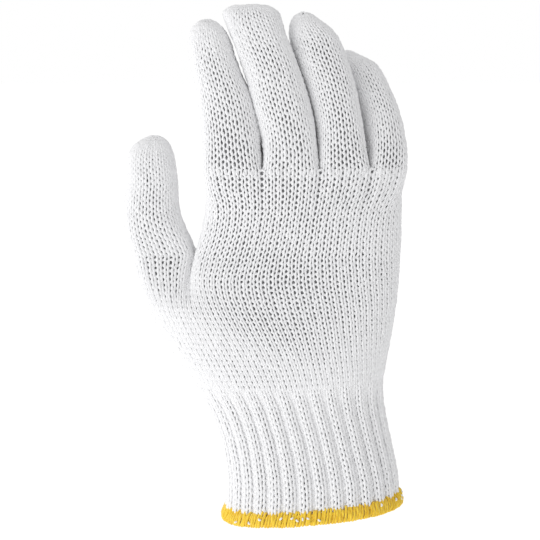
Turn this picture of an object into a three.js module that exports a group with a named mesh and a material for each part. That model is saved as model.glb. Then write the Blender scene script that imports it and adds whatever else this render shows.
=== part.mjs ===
// Knitted cotton work glove for the right hand, in the full round form that it has when worn.
// Millimetres, +Z up: the wrist opening is centred on the origin and faces down, the back of the
// hand faces -Y, the thumb points to -X. The glove is knitted without seams, from the fingertips
// down: four finger tubes run into a four-finger palm, the thumb tube joins it to make a
// five-finger palm, and that runs on as a ribbed cuff, bound at its edge by an overlocked hem.
// Each point of a ring stands for one wale, which is one upright column of knitted stitches.
import * as THREE from 'three';

// Fabric
const FABRIC = 2.0; // thickness of the plain knit
const CUFF_FABRIC = 2.4; // thickness of the ribbed knit, between ridge and inside
const SEAM_GAP = 0.3; // clearance between knitted zones
const WALES_PER_RIB = 3; // two on the ridge and one in the valley
const RIB_RELIEF = 1.1; // from valley to ridge

// Heights of the zones, from the wrist opening up
const HEM_HEIGHT = 5.3;
const CUFF_LENGTH = 56.0;
const HEEL_LENGTH = 58.0; // five-finger palm, from the cuff to the thumb's crotch
const KNUCKLE_LENGTH = 38.6; // four-finger palm, from the thumb's crotch to the fingers' crotches

// Hem and cuff
const HEM_THICKNESS = 3.8;
const HEM_FLARE = 1.4; // how far the hem's foot stands out past its top
const CUFF_BREADTH = 81.5; // across the ridges, just above the hem
const CUFF_DEPTH = 54.0;
const CUFF_ROLL = 5.4; // degrees that the wrist opening leans, lower on the thumb's side

// Palm
const PALM_DEPTH = 34.0; // back of the hand to palm, at the thumb's crotch
const WRIST_SHIFT = 10.8; // the top of the cuff lies this far towards the thumb
const KNUCKLE_SHIFT = 4.35; // and the row of knuckles this far
const THUMB_SETBACK = 10.0; // the thumb's root lies this far towards the palm side
const PALM_SETBACK = 0.5;

// Digits. rise: root to tip, straight up. lean: sideways shift of the tip towards the thumb's side.
// curl: shift of the tip towards the palm side. yaw: how far the root turns away round the
// knuckle arch, in degrees. front: wales across the front, and as many across the back. side:
// wales down each side.
const DIGITS = {
  index_finger: { rise: 67.6, breadth: 26.0, depth: 24.0, lean: 12.4, curl: 7, yaw: -6, front: 8, side: 5 },
  middle_finger: { rise: 74.6, breadth: 24.8, depth: 24.5, lean: 19.0, curl: 9, yaw: 1, front: 8, side: 5 },
  ring_finger: { rise: 70.8, breadth: 22.3, depth: 23.0, lean: 16.6, curl: 14, yaw: 9, front: 7, side: 5 },
  little_finger: { rise: 53.4, breadth: 17.6, depth: 20.5, lean: 15.6, curl: 20, yaw: 24, front: 6, side: 5 },
  thumb: { rise: 53.3, breadth: 28.2, depth: 25.0, lean: 5.5, curl: 8, yaw: 0, front: 8, side: 5 },
};
const FINGERS = ['index_finger', 'middle_finger', 'ring_finger', 'little_finger'];

// Sections of each digit from root to tip, as shares of its rise, lean, curl, breadth and depth.
const COLUMNS = ['up', 'lean', 'curl', 'breadth', 'depth'];
const SECTIONS = {
  index_finger: [
    [0.0, 0.0, 0.0, 1.0, 1.0],
    [0.12, 0.06, 0.03, 0.99, 0.98],
    [0.245, 0.14, 0.1, 0.97, 0.96],
    [0.45, 0.32, 0.28, 0.92, 0.92],
    [0.585, 0.5, 0.42, 0.87, 0.89],
    [0.72, 0.71, 0.59, 0.81, 0.84],
    [0.857, 0.89, 0.78, 0.72, 0.75],
    [0.93, 0.96, 0.88, 0.56, 0.6],
    [0.975, 0.99, 0.95, 0.34, 0.38],
    [1.0, 1.0, 1.0, 0.0, 0.0],
  ],
  middle_finger: [
    [0.0, 0.0, 0.0, 1.0, 1.0],
    [0.098, 0.0, 0.02, 0.98, 0.97],
    [0.28, 0.1, 0.12, 1.03, 0.94],
    [0.466, 0.3, 0.28, 1.07, 0.91],
    [0.613, 0.48, 0.44, 1.04, 0.88],
    [0.773, 0.75, 0.66, 1.06, 0.81],
    [0.896, 0.92, 0.83, 1.14, 0.67],
    [0.957, 0.96, 0.92, 1.06, 0.52],
    [0.988, 0.955, 0.97, 0.78, 0.34],
    [1.0, 0.94, 1.0, 0.0, 0.0],
  ],
  ring_finger: [
    [0.0, 0.0, 0.0, 1.0, 1.0],
    [0.104, 0.03, 0.03, 0.97, 0.98],
    [0.3, 0.1, 0.14, 0.97, 0.95],
    [0.49, 0.28, 0.31, 0.99, 0.92],
    [0.69, 0.56, 0.54, 1.01, 0.89],
    [0.786, 0.72, 0.66, 0.96, 0.85],
    [0.883, 0.92, 0.81, 0.8, 0.74],
    [0.948, 1.0, 0.91, 0.57, 0.54],
    [0.983, 1.02, 0.97, 0.33, 0.32],
    [1.0, 1.02, 1.0, 0.0, 0.0],
  ],
  little_finger: [
    [0.0, 0.0, 0.0, 1.0, 1.0],
    [0.138, -0.04, 0.05, 1.02, 0.98],
    [0.397, 0.06, 0.22, 1.01, 0.94],
    [0.655, 0.38, 0.5, 0.97, 0.89],
    [0.784, 0.59, 0.67, 0.92, 0.84],
    [0.897, 0.82, 0.83, 0.75, 0.7],
    [0.957, 0.95, 0.93, 0.52, 0.5],
    [0.986, 0.99, 0.97, 0.3, 0.29],
    [1.0, 1.0, 1.0, 0.0, 0.0],
  ],
  thumb: [
    [0.0, 0.0, 0.0, 1.0, 1.0],
    [0.086, 0.33, 0.03, 0.98, 0.98],
    [0.172, 0.72, 0.08, 0.96, 0.96],
    [0.3, 1.03, 0.18, 0.94, 0.94],
    [0.43, 1.07, 0.3, 0.89, 0.9],
    [0.56, 1.0, 0.44, 0.84, 0.88],
    [0.69, 1.08, 0.6, 0.82, 0.86],
    [0.8, 1.12, 0.74, 0.77, 0.79],
    [0.88, 1.05, 0.84, 0.67, 0.67],
    [0.945, 0.95, 0.93, 0.47, 0.47],
    [0.98, 0.85, 0.98, 0.27, 0.27],
    [1.0, 0.82, 1.0, 0.0, 0.0],
  ],
};
const ROUNDNESS = 2.3; // power of a rounded section: 2 is an ellipse, more is squarer
const ROOT_SQUARENESS = 4.5; // at the roots, where neighbouring digits lie flat against each other
const ROOT_FADE = 16; // height over which a digit rounds out from its root

// Four-finger palm, from the thumb's crotch up, as shares of the zone's length, of the breadth
// and depth of the row of knuckles, of the way from palm shift to knuckle shift, and of the arch.
const KNUCKLE_SECTIONS = [
  { up: 0.0, breadth: 1.06, depth: 1.0, shift: 0.0, arch: 0.35 },
  { up: 0.25, breadth: 1.03, depth: 0.95, shift: 0.6, arch: 0.5 },
  { up: 0.55, breadth: 1.005, depth: 0.89, shift: 1.05, arch: 0.7 },
  { up: 0.8, breadth: 0.99, depth: 0.84, shift: 1.0, arch: 0.9 },
  { up: 1.0, breadth: 1.0, depth: 0.8, shift: 1.0, arch: 1.0 },
];
const PALM_SHIFT = 7.1; // the palm's middle at the thumb's crotch, towards the thumb's side
const KNUCKLE_FADE = 24;

// Five-finger palm, from the cuff up: reach is the share of the way from the wrist's sides to
// the sides at the thumb's crotch; depth is the share of the way from cuff depth to palm depth.
const HEEL_SECTIONS = [
  { up: 0.0, reach: 0.0, depth: 0.0, roll: 1.0 },
  { up: 0.12, reach: 0.16, depth: 0.05, roll: 0.85 },
  { up: 0.26, reach: 0.35, depth: 0.15, roll: 0.65 },
  { up: 0.44, reach: 0.59, depth: 0.3, roll: 0.4 },
  { up: 0.62, reach: 0.79, depth: 0.5, roll: 0.2 },
  { up: 0.81, reach: 0.92, depth: 0.75, roll: 0.05 },
  { up: 1.0, reach: 1.0, depth: 1.0, roll: 0.0 },
];
const HEEL_FADE = 44;
const WRIST_DEPTH = 48.0;
const WRIST_BREADTH = 87.0;
const WRIST_ROLL = 2.5; // degrees

// Ribbed cuff, from the hem up: shares of the way from the cuff's breadth, depth, shift and roll
// above the hem to those at the wrist. The waist draws the cuff in where its elastic is tightest.
const CUFF_SECTIONS = [
  { up: 0.0, breadth: 0.0, depth: 0.0, shift: 0.0, waist: 0.0, ribs: 1.0 },
  { up: 0.2, breadth: 0.05, depth: 0.1, shift: 0.03, waist: 0.45, ribs: 1.0 },
  { up: 0.42, breadth: 0.2, depth: 0.35, shift: 0.21, waist: 0.9, ribs: 1.0 },
  { up: 0.6, breadth: 0.35, depth: 0.55, shift: 0.42, waist: 1.0, ribs: 1.0 },
  { up: 0.82, breadth: 0.65, depth: 0.8, shift: 0.74, waist: 0.75, ribs: 0.8 },
  { up: 1.0, breadth: 1.0, depth: 1.0, shift: 1.0, waist: 0.0, ribs: 0.0 },
];
const CUFF_WAIST = 4.8; // how much narrower the cuff is at its waist

// Hem, round its own section: out and up are shares of half its thickness and half its height.
const HEM_PROFILE = [
  { out: 0.0, up: -1.0 },
  { out: 0.9, up: -0.6 },
  { out: 1.0, up: 0.3 },
  { out: 0.6, up: 1.0 },
  { out: -0.6, up: 1.0 },
  { out: -1.0, up: 0.3 },
  { out: -0.9, up: -0.6 },
];

const CUFF_TOP = HEM_HEIGHT + CUFF_LENGTH;
const THUMB_CROTCH = CUFF_TOP + HEEL_LENGTH;
const FINGER_CROTCH = THUMB_CROTCH + KNUCKLE_LENGTH;
const degrees = THREE.MathUtils.degToRad;
const mix = THREE.MathUtils.lerp;
const vector = (x, y, z) => new THREE.Vector3(x, y, z);

// One point of a unit superellipse: 1 wide and 1 deep from its middle, squarer with more power.
function superellipse(angle, power) {
  const bend = (value) => Math.sign(value) * Math.abs(value) ** (2 / power);
  return [bend(Math.cos(angle)), bend(Math.sin(angle))];
}

// Points evenly spaced along an outline given as a function of 0 to 1, at the given shares of it.
function alongOutline(outline, shares) {
  const steps = 240;
  const points = Array.from({ length: steps + 1 }, (_, i) => outline(i / steps));
  const run = [0];
  for (let i = 1; i <= steps; i++) {
    const [before, here] = [points[i - 1], points[i]];
    run.push(run[i - 1] + Math.hypot(here[0] - before[0], here[1] - before[1]));
  }
  return shares.map((share) => {
    const target = share * run[steps];
    let i = 1;
    while (i < steps && run[i] < target) i++;
    const part = (target - run[i - 1]) / Math.max(run[i] - run[i - 1], 1e-9);
    return [mix(points[i - 1][0], points[i][0], part), mix(points[i - 1][1], points[i][1], part)];
  });
}

// A ring of evenly spaced wales round a section. frontMiddle is the wale, whole or not, at the
// middle of the front, and wales count anticlockwise as seen from above.
function sectionRing({ centre, right, back, breadth, depth, arch = 0 }, wales, frontMiddle) {
  const outline = (share) => {
    const [u, v] = superellipse(2 * Math.PI * share - Math.PI / 2, ROUNDNESS);
    return [(u * breadth) / 2, (v * depth) / 2 + arch * u * u];
  };
  const shares = Array.from({ length: wales }, (_, wale) => {
    const share = (wale - frontMiddle) / wales;
    return share - Math.floor(share);
  });
  return alongOutline(outline, shares).map(([across, deep]) =>
    centre.clone().addScaledVector(right, across).addScaledVector(back, deep),
  );
}

// Falls smoothly from 1 at no distance to 0 at the end of the fade.
function fading(distance, fade) {
  const share = Math.min(distance / fade, 1);
  return (1 - share) ** 2 * (1 + 2 * share);
}

// Shifts every ring so that the ring at one end becomes the given one, fading along the tube.
function matchEnd(rings, end, wanted, distances, fade) {
  const shifts = wanted.map((point, wale) => point.clone().sub(rings[end][wale]));
  return rings.map((ring, i) =>
    ring.map((point, wale) => point.clone().addScaledVector(shifts[wale], fading(distances[i], fade))),
  );
}

// The walls between the fingers' roots: where each meets the back of the hand and the palm side.
function knuckleWalls() {
  const along = [vector(0, 0, FINGER_CROTCH)];
  for (const name of FINGERS) {
    const { breadth, yaw } = DIGITS[name];
    const step = vector(Math.cos(degrees(yaw)), Math.sin(degrees(yaw)), 0);
    along.push(along.at(-1).clone().addScaledVector(step, breadth));
  }
  const [first, last] = [along[0], along.at(-1)];
  const middle = vector(-KNUCKLE_SHIFT - (first.x + last.x) / 2, PALM_SETBACK, 0);
  return along.map((point, i) => {
    const beside = [FINGERS[i - 1], FINGERS[i]].filter(Boolean).map((name) => DIGITS[name]);
    const mean = (key) => beside.reduce((sum, digit) => sum + digit[key], 0) / beside.length;
    const turn = degrees(mean('yaw')) + Math.PI / 2;
    const half = vector(Math.cos(turn), Math.sin(turn), 0).multiplyScalar(mean('depth') / 2);
    const at = point.clone().add(middle);
    return { front: at.clone().sub(half), back: at.clone().add(half) };
  });
}

// The root ring of a digit inside the four-cornered patch between its two walls: from the front
// left corner along the front, up the right side, back along the back and down the left side.
function rootRing(left, right, { front, side }) {
  const patch = (u, v) => {
    const nearSide = left.front.clone().lerp(right.front, (u + 1) / 2);
    return nearSide.lerp(left.back.clone().lerp(right.back, (u + 1) / 2), (v + 1) / 2);
  };
  const corners = [-135, -45, 45, 135].map(degrees);
  const counts = [front, side, front, side];
  return corners.flatMap((start, k) => {
    const outline = (share) => superellipse(start + (share * Math.PI) / 2, ROOT_SQUARENESS);
    const shares = Array.from({ length: counts[k] }, (_, i) => i / counts[k]);
    return alongOutline(outline, shares).map(([u, v]) => patch(u, v));
  });
}

// All the rings of a digit from its root ring to just below its tip, and the tip itself.
function digitRings(name, left, right) {
  const digit = DIGITS[name];
  const wales = 2 * (digit.front + digit.side);
  const gap = right.front.clone().sub(left.front).normalize().multiplyScalar(SEAM_GAP / 2);
  const inset = (wall, by) => ({ front: wall.front.clone().add(by), back: wall.back.clone().add(by) });
  const root = rootRing(inset(left, gap), inset(right, gap.clone().negate()), digit);
  const middle = root.reduce((sum, point) => sum.add(point), vector(0, 0, 0)).divideScalar(wales);
  const rows = SECTIONS[name].map((row) => Object.fromEntries(COLUMNS.map((key, i) => [key, row[i]])));
  const spine = rows.map((row) =>
    middle.clone().add(vector(-row.lean * digit.lean, row.curl * digit.curl, row.up * digit.rise)),
  );
  const across = vector(Math.cos(degrees(digit.yaw)), Math.sin(degrees(digit.yaw)), 0);
  const rings = rows.slice(0, -1).map((row, i) => {
    const along = i ? spine[i + 1].clone().sub(spine[i - 1]).normalize() : vector(0, 0, 1);
    const rightward = across.clone().addScaledVector(along, -across.dot(along)).normalize();
    const section = {
      centre: spine[i],
      right: rightward,
      back: along.clone().cross(rightward),
      breadth: row.breadth * digit.breadth,
      depth: row.depth * digit.depth,
    };
    return sectionRing(section, wales, digit.front / 2);
  });
  const distances = rows.map((row) => row.up * digit.rise);
  const matched = matchEnd(rings, 0, root, distances, ROOT_FADE);
  return { rings: matched, tip: spine.at(-1).clone(), spine, breadth: digit.breadth };
}

// The point of a finger's spine at a height; below the root or above the tip, the nearest end.
function spineAt(spine, height) {
  let i = 1;
  while (i < spine.length - 1 && spine[i].z < height) i++;
  const share = THREE.MathUtils.clamp((height - spine[i - 1].z) / (spine[i].z - spine[i - 1].z), 0, 1);
  return spine[i - 1].clone().lerp(spine[i], share);
}

// Flattens a finger where it lies against its neighbour, so that each keeps to its own side of
// the upright face between their spines.
function pressAgainst(finger, neighbour) {
  const share = finger.breadth / (finger.breadth + neighbour.breadth);
  for (const point of [...finger.rings.flat(), finger.tip]) {
    const own = spineAt(finger.spine, point.z);
    const across = spineAt(neighbour.spine, point.z).sub(own).setZ(0);
    const room = across.length() * share - SEAM_GAP / 2;
    across.normalize();
    const over = point.clone().sub(own).dot(across) - room;
    if (over > 0) point.addScaledVector(across, -over);
  }
}

// The wales of a ring from the first to the last, both kept, counting on past its end.
function span(ring, first, last) {
  const count = ((last - first + ring.length) % ring.length) + 1;
  return Array.from({ length: count }, (_, i) => ring[(first + i) % ring.length]);
}

// Spans end to end, with the two points that meet in each crotch made one, midway between them.
function joined(spans) {
  return spans.reduce((line, next) => [
    ...line.slice(0, -1),
    line.at(-1).clone().lerp(next[0], 0.5),
    ...next.slice(1),
  ]);
}

// Four-finger palm: its top ring passes round all four roots, leaving out the walls between.
function knucklePalm(fingers, walls) {
  const roots = FINGERS.map((name) => ({ ring: fingers[name].rings[0], ...DIGITS[name] }));
  const fronts = joined(roots.map(({ ring, front }) => span(ring, 0, front)));
  const backs = joined(
    [...roots].reverse().map(({ ring, front, side }) => span(ring, front + side, 2 * front + side)),
  );
  const [indexRoot, littleRoot] = [roots[0], roots.at(-1)];
  const outerSide = span(littleRoot.ring, littleRoot.front + 1, littleRoot.front + littleRoot.side - 1);
  const thumbSide = span(
    indexRoot.ring,
    2 * indexRoot.front + indexRoot.side + 1,
    indexRoot.ring.length - 1,
  );
  const top = [...fronts, ...outerSide, ...backs, ...thumbSide];
  const frontMiddle = (fronts.length - 1) / 2;
  const [first, last] = [walls[0], walls.at(-1)];
  const breadth = last.front.x / 2 + last.back.x / 2 - first.front.x / 2 - first.back.x / 2;
  const sides = (first.front.y + first.back.y + last.front.y + last.back.y) / 4 - PALM_SETBACK;
  const rings = KNUCKLE_SECTIONS.map((row) => {
    const shift = -mix(PALM_SHIFT, KNUCKLE_SHIFT, row.shift);
    const section = {
      centre: vector(shift, PALM_SETBACK, THUMB_CROTCH + row.up * KNUCKLE_LENGTH),
      right: vector(1, 0, 0),
      back: vector(0, 1, 0),
      breadth: row.breadth * breadth,
      depth: row.depth * PALM_DEPTH,
      arch: row.arch * sides,
    };
    return sectionRing(section, top.length, frontMiddle);
  });
  const distances = KNUCKLE_SECTIONS.map((row) => (1 - row.up) * KNUCKLE_LENGTH);
  return { rings: matchEnd(rings, rings.length - 1, top, distances, KNUCKLE_FADE), frontMiddle };
}

// The thumb's root lies against the palm's thumb side, set back towards the palm side.
function thumbWalls(palmRing) {
  const { breadth, depth } = DIGITS.thumb;
  const side = Math.min(...palmRing.map((point) => point.x)) - SEAM_GAP / 2;
  const wallAt = (x) => ({
    front: vector(x, THUMB_SETBACK - depth / 2, THUMB_CROTCH),
    back: vector(x, THUMB_SETBACK + depth / 2, THUMB_CROTCH),
  });
  return [wallAt(side - breadth), wallAt(side)];
}

// Where a wrist section's plane lies, rolled round the Y axis.
function rolled(centre, roll) {
  return {
    centre,
    right: vector(Math.cos(degrees(roll)), 0, Math.sin(degrees(roll))),
    back: vector(0, 1, 0),
  };
}

// Five-finger palm: its top ring passes round the four-finger palm and the thumb's root. The
// thumb is set back, so the back half of the palm's thumb side and the front half of the thumb's
// inner side end against each other in the crotch.
function heelPalm(knuckles, thumb) {
  const palm = knuckles.rings[0];
  const { front, side } = DIGITS.thumb;
  const beforeCrotch = Math.floor(side / 2);
  const palmPart = span(palm, palm.length - beforeCrotch, palm.length - side);
  const thumbPart = span(thumb.rings[0], front + side - beforeCrotch, front);
  const top = [...palmPart, ...thumbPart];
  const rightMost = knuckles.frontMiddle + palm.length / 4 + beforeCrotch;
  const frontMiddle = rightMost - top.length / 4;
  const xs = top.map((point) => point.x);
  const [crotchLeft, crotchRight] = [Math.min(...xs), Math.max(...xs)];
  const wristLeft = -WRIST_SHIFT - WRIST_BREADTH / 2;
  const wristRight = wristLeft + WRIST_BREADTH;
  const rings = HEEL_SECTIONS.map((row) => {
    const left = mix(wristLeft, crotchLeft, row.reach);
    const right = mix(wristRight, crotchRight, row.reach);
    const height = CUFF_TOP + row.up * HEEL_LENGTH;
    const section = {
      ...rolled(vector((left + right) / 2, PALM_SETBACK, height), row.roll * WRIST_ROLL),
      breadth: right - left,
      depth: mix(WRIST_DEPTH, PALM_DEPTH, row.depth),
    };
    return sectionRing(section, top.length, frontMiddle);
  });
  const distances = HEEL_SECTIONS.map((row) => (1 - row.up) * HEEL_LENGTH);
  return { rings: matchEnd(rings, rings.length - 1, top, distances, HEEL_FADE), frontMiddle };
}

// Ribbed cuff, from the hem up to the five-finger palm, with its ribs fading out at the top.
function cuffRings(wales, frontMiddle) {
  return CUFF_SECTIONS.map((row) => {
    const height = HEM_HEIGHT + row.up * CUFF_LENGTH;
    const centre = vector(-row.shift * WRIST_SHIFT, row.shift * PALM_SETBACK, height);
    const section = {
      ...rolled(centre, mix(CUFF_ROLL, WRIST_ROLL, row.up)),
      breadth: mix(CUFF_BREADTH, WRIST_BREADTH, row.breadth) - row.waist * CUFF_WAIST,
      depth: mix(CUFF_DEPTH, WRIST_DEPTH, row.depth) - row.waist * CUFF_WAIST,
    };
    return sectionRing(section, wales, frontMiddle);
  });
}

// Outward directions of a ring, within its own plane.
function outwards(ring) {
  const middle = ring.reduce((sum, point) => sum.add(point), vector(0, 0, 0)).divideScalar(ring.length);
  const third = Math.floor(ring.length / 3);
  const up = ring[0].clone().sub(middle).cross(ring[third].clone().sub(middle)).normalize();
  return ring.map((_, i) => {
    const before = ring[(i + ring.length - 1) % ring.length];
    const after = ring[(i + 1) % ring.length];
    return after.clone().sub(before).cross(up).normalize();
  });
}

// A copy of a ring moved outwards by a distance, or by one that changes from wale to wale.
function offsetRing(ring, distance) {
  const by = typeof distance === 'function' ? distance : () => distance;
  const directions = outwards(ring);
  return ring.map((point, i) => point.clone().addScaledVector(directions[i], by(i)));
}

// Outward directions over a digit, square to its surface.
function surfaceOutwards(rings, tip) {
  return rings.map((ring, j) => {
    const above = rings[j + 1] ?? ring.map(() => tip);
    const below = rings[j - 1] ?? ring;
    return ring.map((_, i) => {
      const around = ring[(i + 1) % ring.length].clone().sub(ring[(i + ring.length - 1) % ring.length]);
      const upwards = above[i].clone().sub(below[i]);
      return around.cross(upwards).normalize();
    });
  });
}

// Triangles over a grid of rings, facing away from their middle, or towards it.
function gridFaces(rows, columns, start, outside) {
  const faces = [];
  for (let j = 0; j < rows - 1; j++) {
    for (let i = 0; i < columns; i++) {
      const next = (i + 1) % columns;
      const [a, b] = [start + j * columns + i, start + j * columns + next];
      const [c, d] = [b + columns, a + columns];
      faces.push(...(outside ? [a, b, c, a, c, d] : [a, c, b, a, d, c]));
    }
  }
  return faces;
}

function solid(points, faces) {
  const geometry = new THREE.BufferGeometry();
  const places = new Float32Array(points.flatMap(({ x, y, z }) => [x, y, z]));
  geometry.setAttribute('position', new THREE.BufferAttribute(places, 3));
  geometry.setIndex(faces);
  const flat = geometry.toNonIndexed();
  flat.computeVertexNormals();
  return flat;
}

// A wall between an outer and an inner grid of rings, open at its foot, and at its top too
// unless both have a tip.
function shell(outer, inner, outerTip, innerTip) {
  const columns = outer[0].length;
  const innerStart = outer.length * columns;
  const points = [...outer.flat(), ...inner.flat()];
  const faces = [
    ...gridFaces(outer.length, columns, 0, true),
    ...gridFaces(inner.length, columns, innerStart, false),
  ];
  const outerTop = innerStart - columns;
  const innerTop = innerStart + (inner.length - 1) * columns;
  const tips = points.length;
  if (outerTip) points.push(outerTip, innerTip);
  for (let i = 0; i < columns; i++) {
    const next = (i + 1) % columns;
    faces.push(i, innerStart + i, innerStart + next, i, innerStart + next, next);
    if (outerTip) {
      faces.push(outerTop + i, outerTop + next, tips, innerTop + next, innerTop + i, tips + 1);
    } else {
      faces.push(outerTop + i, innerTop + next, innerTop + i, outerTop + i, outerTop + next, innerTop + next);
    }
  }
  return solid(points, faces);
}

// Rings with the lowest one raised, to leave the gap over the zone below.
function liftFoot(rings) {
  return rings.map((ring, j) => (j ? ring : ring.map((point) => point.clone().setZ(point.z + SEAM_GAP))));
}

// A knitted digit: closed at its tip, open at its root.
function digitShell({ rings, tip }) {
  const raised = liftFoot(rings);
  const directions = surfaceOutwards(raised, tip);
  directions[0] = outwards(raised[0]);
  const inner = raised.map((ring, j) =>
    ring.map((point, i) => point.clone().addScaledVector(directions[j][i], -FABRIC)),
  );
  const lastGap = raised.at(-1)[0].distanceTo(tip);
  const innerTip = tip.clone().setZ(tip.z - FABRIC);
  const kept = lastGap < FABRIC ? inner.slice(0, -1) : inner;
  return shell(raised, kept, tip, innerTip);
}

// A knitted zone open at both ends, between an outer and an inner stack of rings.
function zoneShell(outer, inner = outer.map((ring) => offsetRing(ring, -FABRIC))) {
  return shell(liftFoot(outer), liftFoot(inner));
}

const COTTON = new THREE.MeshStandardMaterial({ color: 0xf1f1f4, roughness: 0.95, metalness: 0 });
const RIB_COTTON = new THREE.MeshStandardMaterial({ color: 0xeeeef2, roughness: 0.95, metalness: 0 });
const YELLOW_YARN = new THREE.MeshStandardMaterial({ color: 0xf2bf2c, roughness: 0.9, metalness: 0 });

const glove = new THREE.Group();
glove.name = 'glove';

function add(name, geometry, material) {
  const mesh = new THREE.Mesh(geometry, material);
  mesh.name = name;
  glove.add(mesh);
}

const walls = knuckleWalls();
const fingers = {};
FINGERS.forEach((name, i) => {
  fingers[name] = digitRings(name, walls[i], walls[i + 1]);
});
for (let i = 1; i < FINGERS.length; i++) {
  const [left, right] = [fingers[FINGERS[i - 1]], fingers[FINGERS[i]]];
  pressAgainst(left, right);
  pressAgainst(right, left);
}
for (const name of FINGERS) add(name, digitShell(fingers[name]), COTTON);

const knuckles = knucklePalm(fingers, walls);
add('palm_four_finger', zoneShell(knuckles.rings), COTTON);

const thumb = digitRings('thumb', ...thumbWalls(knuckles.rings[0]));
add('thumb', digitShell(thumb), COTTON);

const heel = heelPalm(knuckles, thumb);
add('palm_five_finger', zoneShell(heel.rings), COTTON);

// Two wales of each rib stand on the ridge and the third lies in the valley.
const cuff = cuffRings(heel.rings[0].length, heel.frontMiddle);
const ribbed = cuff.map((ring, j) => {
  const relief = CUFF_SECTIONS[j].ribs * RIB_RELIEF;
  return offsetRing(ring, (wale) => ((wale + 1) % WALES_PER_RIB ? 0 : -relief));
});
const cuffInside = cuff.map((ring) => offsetRing(ring, -CUFF_FABRIC));
add('ribbed_cuff', zoneShell(ribbed, cuffInside), RIB_COTTON);

// The hem runs round the cuff's edge, centred on the cuff's fabric at its top.
const hemMiddle = offsetRing(cuff[0], -CUFF_FABRIC / 2);
const hemRings = HEM_PROFILE.map(({ out, up }) =>
  offsetRing(hemMiddle, (out * HEM_THICKNESS + (1 - up) * HEM_FLARE) / 2).map((point) =>
    point.clone().setZ(point.z + ((up - 1) * HEM_HEIGHT) / 2),
  ),
);
const hemPoints = hemRings.flat();
const hemFaces = gridFaces(HEM_PROFILE.length + 1, cuff[0].length, 0, true).map(
  (index) => index % hemPoints.length,
);
add('overlock_hem', solid(hemPoints, hemFaces), YELLOW_YARN);

export default glove;
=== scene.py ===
"""A knitted cotton work glove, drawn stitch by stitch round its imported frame.

Each knitted zone is a stack of rings with one point to a wale, which is one upright column of
stitches. The yarn of every course runs round its zone in real loops that hang in the loops of
the course below, and the hem's yarn is wound round the edge of the wrist opening. Lengths are
in millimetres until a mesh is made: +Z up the hand, -Y out of the back of the hand, and the
thumb towards -X.
"""

from __future__ import annotations

import logging
import math
from dataclasses import dataclass
from enum import Enum
from typing import Any, Callable, Sequence

import bpy
import numpy as np
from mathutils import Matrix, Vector


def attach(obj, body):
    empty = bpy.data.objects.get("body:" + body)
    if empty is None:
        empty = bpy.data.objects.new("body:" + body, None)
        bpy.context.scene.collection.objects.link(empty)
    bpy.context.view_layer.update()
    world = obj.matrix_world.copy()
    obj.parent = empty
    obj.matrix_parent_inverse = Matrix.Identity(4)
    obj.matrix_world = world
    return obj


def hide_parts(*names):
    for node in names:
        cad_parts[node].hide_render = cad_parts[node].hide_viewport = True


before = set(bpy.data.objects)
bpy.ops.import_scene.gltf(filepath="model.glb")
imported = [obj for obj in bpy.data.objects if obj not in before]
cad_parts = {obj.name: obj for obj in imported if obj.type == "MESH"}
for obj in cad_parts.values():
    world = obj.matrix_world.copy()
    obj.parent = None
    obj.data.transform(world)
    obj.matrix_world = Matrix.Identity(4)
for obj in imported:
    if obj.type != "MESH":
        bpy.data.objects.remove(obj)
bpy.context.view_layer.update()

Array = np.ndarray
Colour = tuple[float, float, float, float]

LOG = logging.getLogger("glove")
MM = 0.001
RIGHT, BACK, UP = np.eye(3)  # the frame's axes
YARN_INSET = 0.95  # from the fabric's outer face to the middle of its yarn
INNER_FACE_INSET = 1.75  # from the outer face to the inner face behind the stitches, a sheet in painted shade
PRESS = 0.3  # how far the outer faces of digits side by side pass each other, so that yarns touch
TIP_CLEARANCE = 7.0  # height below a digit's tip over which it stops pressing on its neighbour
SIDE_CROWDING = 0.15  # share by which a digit's wales lie closer at its sides
TIP_FILLING = 0.13  # share by which its yarn is fatter towards its tip
HEM_HEIGHT = 5.3
CUFF_LENGTH = 56.0
HEEL_LENGTH = 58.0
KNUCKLE_LENGTH = 38.6
CUFF_TOP = HEM_HEIGHT + CUFF_LENGTH
THUMB_CROTCH = CUFF_TOP + HEEL_LENGTH
FINGER_CROTCH = THUMB_CROTCH + KNUCKLE_LENGTH
PALM_SHIFT = 7.1  # the palm's middle at the thumb's crotch, towards the thumb's side
PALM_DEPTH = 34.0
PALM_SETBACK = 0.5
ROUNDNESS = 2.3  # power of a rounded section: 2 is an ellipse, more is squarer
ROOT_SQUARENESS = 4.5  # at the roots, where neighbouring digits lie flat against each other
ROOT_CORNER = 30.0  # angle at a root between its side's middle and the wale in its corner
CROTCH_WEB = 0.6  # how much of the groove between two fingers the palm's fabric bridges
ROOT_FADE = 16.0  # height over which a digit rounds out from its root
TIP_FADE = 14.0  # height over which its sections come level again towards its tip
OUTLINE_STEPS = 240
YARN_MAP = "Yarn"  # lengths and turns of the yarn, or wales and courses of the inner face
MATT_SPECULAR = 0.2
PLAIN_WHITE = (1.0, 1.0, 1.0, 1.0)


class Slot(Enum):
    """The record's material slots."""

    KNIT = "cotton_knit"
    RIB = "cotton_rib"
    HEM = "yellow_yarn"


def unit(vectors: Array) -> Array:
    """Returns the vectors along the last axis at a length of one."""
    return vectors / np.maximum(np.linalg.norm(vectors, axis=-1, keepdims=True), 1e-12)


def along(axis: Array, amounts: Array) -> Array:
    """Returns one vector for each amount, that far along one axis."""
    return amounts[..., None] * axis


def between(start: Any, end: Any, share: Any) -> Any:
    """Returns the value that lies at a share of the way from start to end."""
    return start + (end - start) * share


def superellipse(angles: Array, power: float) -> Array:
    """Returns points of a superellipse that reaches one from its middle.

    Args:
        angles: The points' angles in radians.
        power: Two for a circle, and more for a squarer outline.

    Returns:
        One row of two coordinates for each angle.
    """
    turned = np.stack([np.cos(angles), np.sin(angles)], axis=-1)
    return np.sign(turned) * np.abs(turned) ** (2.0 / power)


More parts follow.
